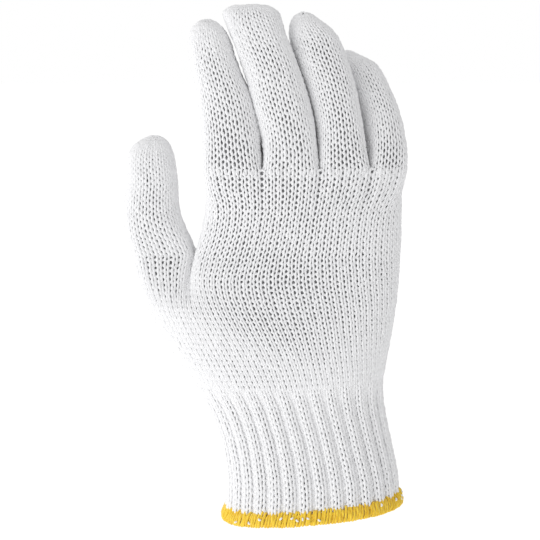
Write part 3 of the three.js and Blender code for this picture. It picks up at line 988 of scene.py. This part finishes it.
class HeelKnitting(Knitting):
    """Knits the heel, tighter round the ball of the thumb."""

    ball_filling = 0.44  # share by which the yarn is fatter on the ball of the thumb
    ball_half = 18.0  # how far that reaches from the thumb's middle, in wales

    def on_ball(self, wale: Array) -> Array:
        """Returns how near the middle of the ball each place round the tube lies, up to one."""
        half = self.fabric.wales / 2.0
        return fading(np.abs((wale + THUMB.wales / 2.0 + half) % (2.0 * half) - half), self.ball_half)

    def fullness(self, wale: Array, run: Array, facing: Array) -> Array:
        """Returns how fat the yarn lies, as the base class does, and fatter on the ball."""
        return super().fullness(wale, run, facing) + self.ball_filling * self.on_ball(wale)


@dataclass(frozen=True)
class FiveFingerPalm:
    """The palm's lower zone, from the cuff to the thumb's crotch.

    Each section holds its height as a share of the zone's, the share of the way from the
    wrist's sides to those at the crotch, that from wrist depth to palm depth, and the roll's.
    """

    node: str = "palm_five_finger"
    wrist: Wrist = Wrist()
    thumb_setback: float = 10.0
    fade: float = 26.0
    sections: tuple[tuple[float, float, float, float], ...] = (
        (0.0, 0.0, 0.0, 1.0),
        (0.12, 0.16, 0.05, 0.85),
        (0.26, 0.35, 0.15, 0.65),
        (0.44, 0.59, 0.3, 0.4),
        (0.62, 0.79, 0.5, 0.2),
        (0.81, 0.92, 0.75, 0.05),
        (1.0, 1.0, 1.0, 0.0),
    )
    slides: tuple[float, ...] = (0.0, 0.4, 1.2, 2.6, 4.0, 3.2, 0.0)  # the wales' slide, in wales

    def thumb_walls(self, palm: Array) -> tuple[Array, Array]:
        """Sets out the walls of the thumb's root beside the upper palm's foot.

        Args:
            palm: The four-finger palm's lowest ring.

        Returns:
            The left wall's and the right wall's front and back points.
        """
        side = palm[:, 0].min()
        near, far = self.thumb_setback - THUMB.depth / 2.0, self.thumb_setback + THUMB.depth / 2.0
        return tuple(
            np.array([[x, near, THUMB_CROTCH], [x, far, THUMB_CROTCH]]) for x in (side - THUMB.breadth, side)
        )

    def rings(self, palm: Array, palm_middle: float, thumb: Array) -> Array:
        """Lays the zone's rings out round the feet of the upper palm and the thumb.

        Args:
            palm: The four-finger palm's lowest ring.
            palm_middle: Its wale at the middle of the front.
            thumb: The thumb's root ring.

        Returns:
            The stack of rings.
        """
        before_crotch = THUMB.side // 2
        palm_part = span(palm, len(palm) - before_crotch, len(palm) - THUMB.side)
        thumb_part = span(thumb, THUMB.front + THUMB.side - before_crotch, THUMB.front)
        top = np.concatenate([palm_part, thumb_part])
        front_middle = palm_middle + len(palm) / 4.0 + before_crotch - len(top) / 4.0
        crotch_left, crotch_right = top[:, 0].min(), top[:, 0].max()
        wrist_left = -self.wrist.shift - self.wrist.breadth / 2.0
        rings = []
        for (up, reach, depth, roll), slide in zip(self.sections, self.slides):
            left = between(wrist_left, crotch_left, reach)
            right = between(wrist_left + self.wrist.breadth, crotch_right, reach)
            centre = np.array([(left + right) / 2.0, PALM_SETBACK, CUFF_TOP + up * HEEL_LENGTH])
            deep = between(self.wrist.depth, PALM_DEPTH, depth)
            section = rolled_section(centre, roll * self.wrist.roll, right - left, deep)
            rings.append(section.ring(len(top), front_middle, slide=slide))
        distances = (1.0 - np.array(self.sections)[:, 0]) * HEEL_LENGTH
        return match_end(np.array(rings), -1, top, distances, self.fade)

    def knit(self, rings: Array) -> bpy.types.Object:
        """Knits the zone's yarn."""
        stitch = Stitch(spread=0.04, right_filling=0.17, foot_filling=0.16, steps=8)
        return HeelKnitting(self.node, Fabric(rings), stitch, 6).knit(Slot.KNIT)


class RibKnitting(Knitting):
    """Knits the cuff: two wales of each rib on a ridge, and the third sunk between ridges."""

    rib_wales = 3
    ridge_middle = 0.5
    squeeze = 0.16  # how far a ridge's wales spread over the sunk one, in wales
    relief = 2.0
    fading_out = ((0.6, 1.0), (0.85, 0.85), (1.0, 0.2))  # the ribs' share at shares of the height
    valley_filling = 0.3  # share by which the yarn is fatter between ridges

    def share(self, run: Array) -> Array:
        """Returns how much of the rib relief there is at each height."""
        places, shares = zip(*self.fading_out)
        return np.interp(run / self.fabric.length, places, shares)

    def phase(self, wale: Array) -> Array:
        """Returns each place's angle within its rib, zero at the ridge's middle."""
        return 2.0 * np.pi * (wale - self.ridge_middle) / self.rib_wales

    def valley(self, wale: Array, run: Array) -> Array:
        """Returns how deep between ridges each place lies, as a share of the relief."""
        return ((1.0 - np.cos(self.phase(wale))) / 2.0) ** 1.5 * self.share(run)

    def fullness(self, wale: Array, run: Array, facing: Array) -> Array:
        """Returns how fat the yarn lies, as the base class does, and fatter between ridges."""
        return super().fullness(wale, run, facing) + self.valley_filling * self.valley(wale, run)

    def inset(self, wale: Array, run: Array) -> Array:
        """Returns how far the yarn's middle lies inside the ridges' face."""
        return YARN_INSET + self.relief * self.valley(wale, run)

    def warped(self, wale: Array, run: Array) -> Array:
        """Returns where each place round the cuff is drawn to."""
        return wale + self.squeeze * np.sin(self.phase(wale)) * self.share(run)


@dataclass(frozen=True)
class RibbedCuff:
    """The elastic cuff, from the hem up to the five-finger palm.

    Each section holds its height as a share of the cuff's, the shares of the way from the
    cuff's breadth, depth and shift above the hem to the wrist's, and the share of its waist.
    """

    node: str = "ribbed_cuff"
    wrist: Wrist = Wrist()
    breadth: float = 81.5
    depth: float = 54.0
    roll: float = 5.4
    waist: float = 4.8
    fabric: float = 2.4
    wales: int = 90  # thirty ribs of three
    front_middle: float = 11.0  # the wale at the middle of the front
    sections: tuple[tuple[float, float, float, float, float], ...] = (
        (0.0, 0.0, 0.0, 0.0, 0.0),
        (0.2, 0.05, 0.1, 0.03, 0.45),
        (0.42, 0.2, 0.35, 0.21, 0.9),
        (0.6, 0.35, 0.55, 0.42, 1.0),
        (0.82, 0.65, 0.8, 0.74, 0.75),
        (1.0, 1.0, 1.0, 1.0, 0.0),
    )

    def rings(self) -> Array:
        """Lays the cuff's rings out on its ridges.

        Returns:
            The stack of rings.
        """
        rings = []
        for up, breadth, depth, shift, waist in self.sections:
            centre = np.array(
                [-shift * self.wrist.shift, shift * PALM_SETBACK, HEM_HEIGHT + up * CUFF_LENGTH]
            )
            section = rolled_section(
                centre,
                between(self.roll, self.wrist.roll, up),
                between(self.breadth, self.wrist.breadth, breadth) - waist * self.waist,
                between(self.depth, self.wrist.depth, depth) - waist * self.waist,
            )
            rings.append(section.ring(self.wales, self.front_middle))
        return np.array(rings)

    def knit(self, rings: Array) -> bpy.types.Object:
        """Knits the cuff's yarn."""
        stitch = Stitch(2.65, radius=0.67, uneven=0.04, tension=0.04, steps=8)
        return RibKnitting(self.node, Fabric(rings), stitch, 7).knit(Slot.RIB)


@dataclass(frozen=True)
class OverlockHem:
    """The yellow yarn that is wound over the edge of the wrist opening."""

    node: str = "overlock_hem"
    thickness: float = 3.8
    flare: float = 1.4
    pitch: float = 1.28  # from one wrap to the next
    radius: float = 0.65
    side_sink: float = 0.7  # how far the yarn sinks in at both faces, in radii
    end_sink: float = 0.5  # how far it does at top and foot
    slant: float = 0.5  # how far a wrap leans along the edge, in wraps
    stray: float = 0.12  # how far it strays along the edge, in wraps
    jag: float = 0.5  # how far wraps bite up over the cuff
    jag_change: float = 0.8  # share by which that differs from wrap to wrap
    tooth: float = 1.1  # how far the longest ones bite further
    tooth_wraps: float = 2.4  # from one of those to the next
    lumps: int = 8  # to a wrap
    fluff: float = 0.2  # how far they stand out
    swell: float = 0.14  # share by which the yarn is fatter in them
    core: tuple[float, ...] = (1.3, 2.6, 3.9)  # how far down the rounds lie that it is wound over
    core_radius: float = 1.15
    flecks: int = 30
    fleck_margins: tuple[float, float] = (0.6, 1.2)  # what they leave free above and below
    fleck_slope: tuple[float, float] = (0.3, 1.0)  # how steeply they stand, at least and at most
    fleck_radius: float = 0.46
    fleck_half: float = 0.45  # half a fleck's length
    fleck_rise: float = 0.3  # how far its middle stands out
    steps: int = 26
    sides: int = 6

    def edge(self, cuff: Array, fabric: float) -> tuple[Array, Array]:
        """Finds the edge that the yarn is wound over.

        Args:
            cuff: The cuff's rings.
            fabric: The thickness of its knit.

        Returns:
            The hem's middle line at the cuff's foot, and its outward directions.
        """
        ring = cuff[0]
        normal = unit(np.cross(ring[0] - ring.mean(axis=0), ring[len(ring) // 4] - ring.mean(axis=0)))
        outward = unit(np.cross(np.roll(ring, -1, axis=0) - np.roll(ring, 1, axis=0), normal))
        return ring - outward * fabric / 2.0, outward

    def wound(self, middle: Array, outward: Array) -> Strand:
        """Winds the yarn round the edge.

        Args:
            middle: The hem's middle line at the cuff's foot.
            outward: Its outward directions.

        Returns:
            The closed strand.
        """
        random = np.random.default_rng(8)
        length = np.linalg.norm(np.roll(middle, -1, axis=0) - middle, axis=1).sum()
        wraps = round(length / self.pitch)
        turn = np.arange(wraps * self.steps) / self.steps
        out, up = np.cos(2.0 * np.pi * turn), np.sin(2.0 * np.pi * turn)
        ragged = random.normal(0.0, 1.0, (2, 2 * wraps))
        lumps = eased(random.normal(0.0, 1.0, self.lumps * wraps), self.lumps / 2.0 * turn)
        place = turn + self.slant * 0.5 * up + self.stray * eased(ragged[0], turn)
        wale = (place / wraps * len(middle)) % len(middle)
        low = np.floor(wale).astype(int)
        share = (wale - low)[:, None]
        following = (low + 1) % len(middle)
        facing = unit(between(outward[low], outward[following], share))
        reach = self.thickness / 2.0 - self.radius * self.side_sink + self.fluff * lumps
        half = HEM_HEIGHT / 2.0 - self.radius * self.end_sink
        tooth = self.tooth * (0.5 + 0.5 * np.cos(2.0 * np.pi * np.floor(turn) / self.tooth_wraps))
        jag = self.jag * (1.0 + self.jag_change * eased(ragged[1], turn))
        bite = np.maximum(up, 0.0) ** 2 * (jag + tooth)
        down = HEM_HEIGHT / 2.0 - up * half - bite
        sideways = out * reach + self.flare * down / HEM_HEIGHT
        centres = between(middle[low], middle[following], share) + sideways[:, None] * facing
        centres[:, 2] -= down
        radial = unit(out[:, None] * facing + along(UP, up))
        return Strand(centres, radial, self.radius * (1.0 + self.swell * lumps))

    def filling(self, middle: Array, outward: Array) -> list[Strand]:
        """Lays what the yarn is wound over, as rounds of its own yarn.

        Args:
            middle: The hem's middle line at the cuff's foot.
            outward: Its outward directions.

        Returns:
            One closed strand for each round.
        """
        strands = []
        for down in self.core:
            centres = middle + outward * (self.flare * down / HEM_HEIGHT) - down * UP
            strands.append(Strand(centres, outward, np.full(len(middle), self.core_radius)))
        return strands

    def white_flecks(self, middle: Array, outward: Array) -> list[Strand]:
        """Lays short loops of the cuff's white yarn that have come up between the wraps.

        Args:
            middle: The hem's middle line at the cuff's foot.
            outward: Its outward directions.

        Returns:
            One short strand for each fleck.
        """
        random = np.random.default_rng(11)
        above, below = self.fleck_margins
        t = np.linspace(-1.0, 1.0, 7)
        strands = []
        for i in random.choice(len(middle), self.flecks, replace=False):
            down = random.uniform(above, HEM_HEIGHT - below)
            heading = unit(middle[(i + 1) % len(middle)] - middle[i]) * random.uniform(-1.0, 1.0)
            heading[2] += random.uniform(*self.fleck_slope)
            rise = self.fleck_rise * (1.0 - 2.0 * t * t)
            bulge = self.thickness / 2.0 + self.flare * down / HEM_HEIGHT + rise
            centres = middle[i] + along(unit(heading), t * self.fleck_half) + along(outward[i], bulge)
            centres[:, 2] -= down
            facing = np.broadcast_to(outward[i], centres.shape)
            strands.append(Strand(centres, facing, np.full(len(t), self.fleck_radius), closed=False))
        return strands

    def wind(self, cuff: Array, fabric: float) -> bpy.types.Object:
        """Makes the hem's piece.

        Args:
            cuff: The cuff's rings.
            fabric: The thickness of its knit.

        Returns:
            The piece, riding on the root in place of its node.
        """
        middle, outward = self.edge(cuff, fabric)
        mesh = YarnMesh(f"{self.node}_yarn", self.sides)
        for strand in [self.wound(middle, outward)] + self.filling(middle, outward):
            mesh.add(strand)
        for strand in self.white_flecks(middle, outward):
            mesh.add(strand, slot=1)
        made = mesh.build([FINISHES[Slot.HEM].material(), FINISHES[Slot.RIB].material()])
        LOG.info("%s: %d faces", made.name, len(made.data.polygons))
        return placed(made, self.node)


@dataclass(frozen=True)
class Socket:
    """An output of a shader node that takes part in arithmetic."""

    graph: Graph
    output: bpy.types.NodeSocket

    def __add__(self, other: Number) -> Socket:
        """Returns the sum."""
        return self.graph.math("ADD", self, other)

    def __mul__(self, other: Number) -> Socket:
        """Returns the product."""
        return self.graph.math("MULTIPLY", self, other)

    def __sub__(self, other: Number) -> Socket:
        """Returns the difference."""
        return self.graph.math("SUBTRACT", self, other)

    def __rsub__(self, other: Number) -> Socket:
        """Returns the difference from the other value."""
        return self.graph.math("SUBTRACT", other, self)

    __radd__ = __add__
    __rmul__ = __mul__


Number = Socket | float


class Graph:
    """The nodes of one material, or of the world."""

    def __init__(self, owner: bpy.types.Material | bpy.types.World) -> None:
        """Starts the owner's nodes afresh.

        Args:
            owner: The material, or the world.
        """
        owner.use_nodes = True
        self.tree = owner.node_tree
        self.tree.nodes.clear()

    def node(
        self, kind: str, settings: dict[str, Any], inputs: dict[str | int, Any], output: str | int = 0
    ) -> Socket:
        """Adds one node.

        Args:
            kind: Its type.
            settings: Its properties, which are set first.
            inputs: Values or links of its sockets, by name or index.
            output: Which of its outputs is wanted.

        Returns:
            That output.
        """
        made = self.tree.nodes.new(kind)
        for name, value in settings.items():
            setattr(made, name, value)
        for name, value in inputs.items():
            if isinstance(value, Socket):
                self.tree.links.new(value.output, made.inputs[name])
            else:
                made.inputs[name].default_value = value
        return Socket(self, made.outputs[output])

    def math(self, operation: str, *values: Number) -> Socket:
        """Adds a Math node on one or more values."""
        return self.node("ShaderNodeMath", {"operation": operation}, dict(enumerate(values)))

    def mixed(self, share: Number, first: Socket | Colour, second: Socket | Colour) -> Socket:
        """Returns a colour that lies a share of the way from the first to the second."""
        return self.node(
            "ShaderNodeMix", {"data_type": "RGBA"}, {0: share, 6: first, 7: second}, output=2
        )

    def axis(self, vector: Socket, name: str) -> Socket:
        """Returns a vector's part along X, Y or Z."""
        return self.node("ShaderNodeSeparateXYZ", {}, {0: vector}, output=name)

    def yarn_place(self) -> tuple[Socket, Socket]:
        """Returns both coordinates of the yarn map."""
        place = self.node("ShaderNodeUVMap", {"uv_map": YARN_MAP}, {})
        return self.axis(place, "X"), self.axis(place, "Y")

    def wave(self, operation: str, turns: Socket) -> Socket:
        """Returns the sine or cosine of an angle that is counted in whole turns."""
        return self.math(operation, turns * (2.0 * math.pi))

    def bump(self, strength: float, distance: float, height: Socket) -> Socket:
        """Returns the normal of a surface with relief on it."""
        relief = {"Strength": strength, "Distance": distance, "Height": height}
        return self.node("ShaderNodeBump", {}, relief)

    def noise(self, scale: float, detail: float) -> Socket:
        """Returns noise over the object's own space, from about 0 to 1."""
        place = self.node("ShaderNodeTexCoord", {}, {}, output="Object")
        return self.node(
            "ShaderNodeTexNoise", {}, {"Vector": place, "Scale": scale, "Detail": detail}, output="Fac"
        )

    def finish(self, shader: Socket, output: str = "ShaderNodeOutputMaterial") -> None:
        """Sends the shader to the surface."""
        made = self.tree.nodes.new(output)
        self.tree.links.new(shader.output, made.inputs["Surface"])

    def principled(self, sockets: dict[str, Any]) -> None:
        """Gives the surface a Principled shader with the given values or links."""
        self.finish(self.node("ShaderNodeBsdfPrincipled", {}, sockets))


@dataclass(frozen=True)
class Finish:
    """A material, made when it is first asked for."""

    name: str

    def material(self) -> bpy.types.Material:
        """Makes the material if it isn't there yet.

        Returns:
            The material.
        """
        made = bpy.data.materials.get(self.name)
        if made is None:
            made = bpy.data.materials.new(self.name)
            self.dress(Graph(made))
        return made

    def dress(self, graph: Graph) -> None:
        """Builds the material's nodes."""
        raise NotImplementedError


@dataclass(frozen=True)
class YarnFinish(Finish):
    """The looks of a spun yarn of twisted plies, with painted shade between the plies and on each strand's
    inward-facing half.
    """

    colour: Colour
    # shade: the colour of the random mottle, and of the painted shade between plies
    shade: Colour
    # inside: painted shade on the inward-facing half of each strand, where it lies hidden in the fabric
    inside: Colour
    roughness: float = 0.92
    sheen: float = 0.35
    plies: int = 3
    lay: float = 3.4  # length of yarn to one turn of its plies
    groove: float = 0.35  # how much painted shade lies between plies
    mottle: float = 0.35  # how much of the shade comes and goes along the yarn
    patch_scale: float = 180.0  # mottled patches to a metre, roughly
    fibre_scale: float = 3200.0  # fibres to a metre, roughly
    relief: float = 0.00012  # depth of plies and fibres, in metres
    relief_strength: float = 0.55
    ply_height: float = 0.7  # share of the relief that is the plies'
    fibre_height: float = 0.6  # share of it that is the fibres'
    painted_shade_span: tuple[float, float] = (0.35, 0.75)  # where round the yarn its inward side takes the painted shade

    def dress(self, graph: Graph) -> None:
        """Builds the material's nodes.

        Args:
            graph: The material's empty node graph.
        """
        length, around = graph.yarn_place()
        ply = graph.wave("SINE", around * float(self.plies) + length * (1.0 / self.lay)) * 0.5 + 0.5
        fibre = graph.noise(self.fibre_scale, 4.0)
        patch = graph.noise(self.patch_scale, 3.0)
        # Painted shade between the plies, and random mottled patches.
        shaded = (1.0 - ply) * self.groove + (patch - 0.5) * (2.0 * self.mottle)
        share = graph.node("ShaderNodeClamp", {}, {0: shaded})
        # Painted shade on the inward-facing half of each strand
        inward = 0.5 - graph.wave("COSINE", around) * 0.5
        painted_shade_share = graph.node(
            "ShaderNodeMapRange",
            {"interpolation_type": "SMOOTHSTEP"},
            {"Value": inward, "From Min": self.painted_shade_span[0], "From Max": self.painted_shade_span[1]},
        )
        outside = graph.mixed(share, self.colour, self.shade)
        height = ply * self.ply_height + fibre * self.fibre_height
        graph.principled(
            {
                "Base Color": graph.mixed(painted_shade_share, outside, self.inside),
                "Roughness": self.roughness,
                "Specular IOR Level": MATT_SPECULAR,
                "Sheen Weight": self.sheen,
                "Sheen Roughness": 0.5,
                "Normal": graph.bump(self.relief_strength, self.relief, height),
            }
        )


@dataclass(frozen=True)
class PaintedShadeInnerFaceFinish(Finish):
    """The fabric's inner face in painted shade: a dark grey sheet, darker in the hollows of its rows of
    shallow bumps, matted with loose fibres.
    """

    name: str = "inner_face_painted_shade"
    # Both colours are painted shade; the second darkens the hollows between the bumps.
    colour: Colour = (0.4, 0.4, 0.41, 1.0)
    shade: Colour = (0.27, 0.27, 0.28, 1.0)
    roughness: float = 0.95
    wave: float = 0.2  # how far a row of bumps rises and falls, in courses
    relief: float = 0.0004  # height of the bumps, in metres
    relief_strength: float = 0.6
    matting_height: float = 0.4  # how high the matting stands, as a share of the bumps
    matting_scale: float = 1500.0  # matted fibres to a metre, roughly

    def dress(self, graph: Graph) -> None:
        """Builds the material's nodes.

        Args:
            graph: The material's empty node graph.
        """
        wale, course = graph.yarn_place()
        rise = graph.wave("SINE", wale) * self.wave
        bumps = graph.wave("SINE", course + rise) * 0.5 + 0.5
        matting = graph.noise(self.matting_scale, 4.0)
        height = bumps + matting * self.matting_height
        # Painted shade, darker in the bumps' hollows and patchy with the matting.
        graph.principled(
            {
                "Base Color": graph.mixed(bumps * 0.5 + matting * 0.5, self.shade, self.colour),
                "Roughness": self.roughness,
                "Specular IOR Level": MATT_SPECULAR,
                "Normal": graph.bump(self.relief_strength, self.relief, height),
            }
        )


@dataclass(frozen=True)
class FloorFinish(Finish):
    """The looks of the floor, which glows a little so that it stays pale."""

    name: str = "pale_floor"
    colour: Colour = (0.9, 0.9, 0.9, 1.0)
    roughness: float = 0.95
    glow: float = 0.35

    def dress(self, graph: Graph) -> None:
        """Builds the material's nodes.

        Args:
            graph: The material's empty node graph.
        """
        graph.principled(
            {
                "Base Color": self.colour,
                "Roughness": self.roughness,
                "Emission Color": PLAIN_WHITE,
                "Emission Strength": self.glow,
            }
        )


# The inner face's material is a dark grey of painted shade.
PAINTED_SHADE_INNER_FACE = PaintedShadeInnerFaceFinish()
# Each yarn's third colour is painted shade on the inward half of its strands.
WHITE, WARM_SHADE, PAINTED_SHADE_GREY = (0.87, 0.87, 0.88, 1.0), (0.82, 0.82, 0.835, 1.0), (0.62, 0.62, 0.63, 1.0)
# Each yarn's second colour is its random mottle and its painted shade between plies.
YELLOW, AMBER, PAINTED_SHADE_BROWN = (0.9, 0.64, 0.06, 1.0), (0.76, 0.45, 0.02, 1.0), (0.3, 0.13, 0.01, 1.0)
FINISHES = {
    Slot.KNIT: YarnFinish("cotton_yarn", WHITE, WARM_SHADE, PAINTED_SHADE_GREY),
    Slot.RIB: YarnFinish("rib_yarn", WHITE, WARM_SHADE, PAINTED_SHADE_GREY),
    Slot.HEM: YarnFinish(
        "yellow_overlock_yarn", YELLOW, AMBER, PAINTED_SHADE_BROWN, plies=2, lay=4.0, groove=0.6, mottle=0.9
    ),
}


def placed(piece: bpy.types.Object, node: str) -> bpy.types.Object:
    """Puts a piece in its node's place on the root body.

    Args:
        piece: The piece.
        node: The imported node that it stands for.

    Returns:
        The same piece.
    """
    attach(piece, "root")
    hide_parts(node)
    return piece


@dataclass(frozen=True)
class Studio:
    """A pale floor, a white surround, one soft light from the front left, and the camera."""

    aim: tuple[float, float, float] = (-0.01958, -0.0008, 0.1121)
    distance: float = 0.75
    elevation: float = 8.0
    lens: float = 109.8
    floor_drop: float = 0.35
    floor_size: float = 40.0
    surround: float = 0.79
    surround_tilt: float = 0.34  # how much brighter it is on the left, and darker on the right
    key_place: tuple[float, float, float] = (-1.05, -0.8, 0.0)
    key_size: float = 0.8
    key_power: float = 4.3

    def floor(self) -> None:
        """Lays the floor well below the glove, which hangs free on its mount."""
        half = self.floor_size / 2.0
        mesh = bpy.data.meshes.new("floor")
        flat = ((-half, -half), (half, -half), (half, half), (-half, half))
        mesh.from_pydata([(x, y, -self.floor_drop) for x, y in flat], [], [(0, 1, 2, 3)])
        mesh.materials.append(FloorFinish().material())
        made = linked("floor", mesh)

    def surroundings(self) -> None:
        """Sets the light from all round, brighter from the left, on a plain white background."""
        world = bpy.data.worlds.new("white_surround")
        graph = Graph(world)
        direction = graph.node("ShaderNodeTexCoord", {}, {}, output="Generated")
        seen = graph.node("ShaderNodeLightPath", {}, {}, output="Is Camera Ray")
        light = self.surround - graph.axis(direction, "X") * self.surround_tilt
        white = {"Color": PLAIN_WHITE, "Strength": light + seen * (1.0 - light)}
        graph.finish(graph.node("ShaderNodeBackground", {}, white), "ShaderNodeOutputWorld")
        bpy.context.scene.world = world
        bpy.context.scene.view_settings.view_transform = "Standard"

    def key_light(self) -> None:
        """Hangs the soft light."""
        data = bpy.data.lights.new("key_light", "AREA")
        data.size = self.key_size
        data.energy = self.key_power
        light = linked("key_light", data)
        light.location = self.key_place
        towards = Vector(self.aim) - light.location
        light.rotation_euler = towards.to_track_quat("-Z", "Y").to_euler()

    def camera(self) -> None:
        """Sets the camera at the photograph's angle."""
        data = bpy.data.cameras.new("camera")
        data.lens = self.lens
        data.sensor_width = 36.0
        data.clip_start = 0.01
        made = linked("camera", data)
        rise = math.radians(self.elevation)
        away = Vector((0.0, -math.cos(rise), math.sin(rise))) * self.distance
        made.location = Vector(self.aim) + away
        made.rotation_euler = (-away).to_track_quat("-Z", "Y").to_euler()
        bpy.context.scene.camera = made

    def set_up(self) -> None:
        """Makes everything round the glove."""
        self.floor()
        self.surroundings()
        self.key_light()
        self.camera()


def main() -> None:
    """Builds the glove and what stands round it."""
    logging.basicConfig(level=logging.INFO, format="%(name)s: %(message)s")
    Studio().set_up()
    upper, lower, cuff, hem = FourFingerPalm(), FiveFingerPalm(), RibbedCuff(), OverlockHem()
    walls = upper.walls()
    tubes = [finger.tube(walls[i], walls[i + 1]) for i, finger in enumerate(FINGERS)]
    pressed = list(tubes)
    for i in range(len(tubes) - 1):
        pressed[i] = pressed[i].pressed_against(tubes[i + 1])
        pressed[i + 1] = pressed[i + 1].pressed_against(tubes[i])
    for seed, (finger, tube) in enumerate(zip(FINGERS, pressed)):
        finger.knit(tube, seed)
    palm, palm_middle = upper.rings([tube.rings[0] for tube in pressed], walls)
    upper.knit(palm)
    thumb = THUMB.tube(*lower.thumb_walls(palm[0]))
    THUMB.knit(thumb, len(FINGERS))
    lower.knit(lower.rings(palm[0], palm_middle, thumb.rings[0]))
    rings = cuff.rings()
    cuff.knit(rings)
    hem.wind(rings, cuff.fabric)


if __name__ == "__main__":
    main()
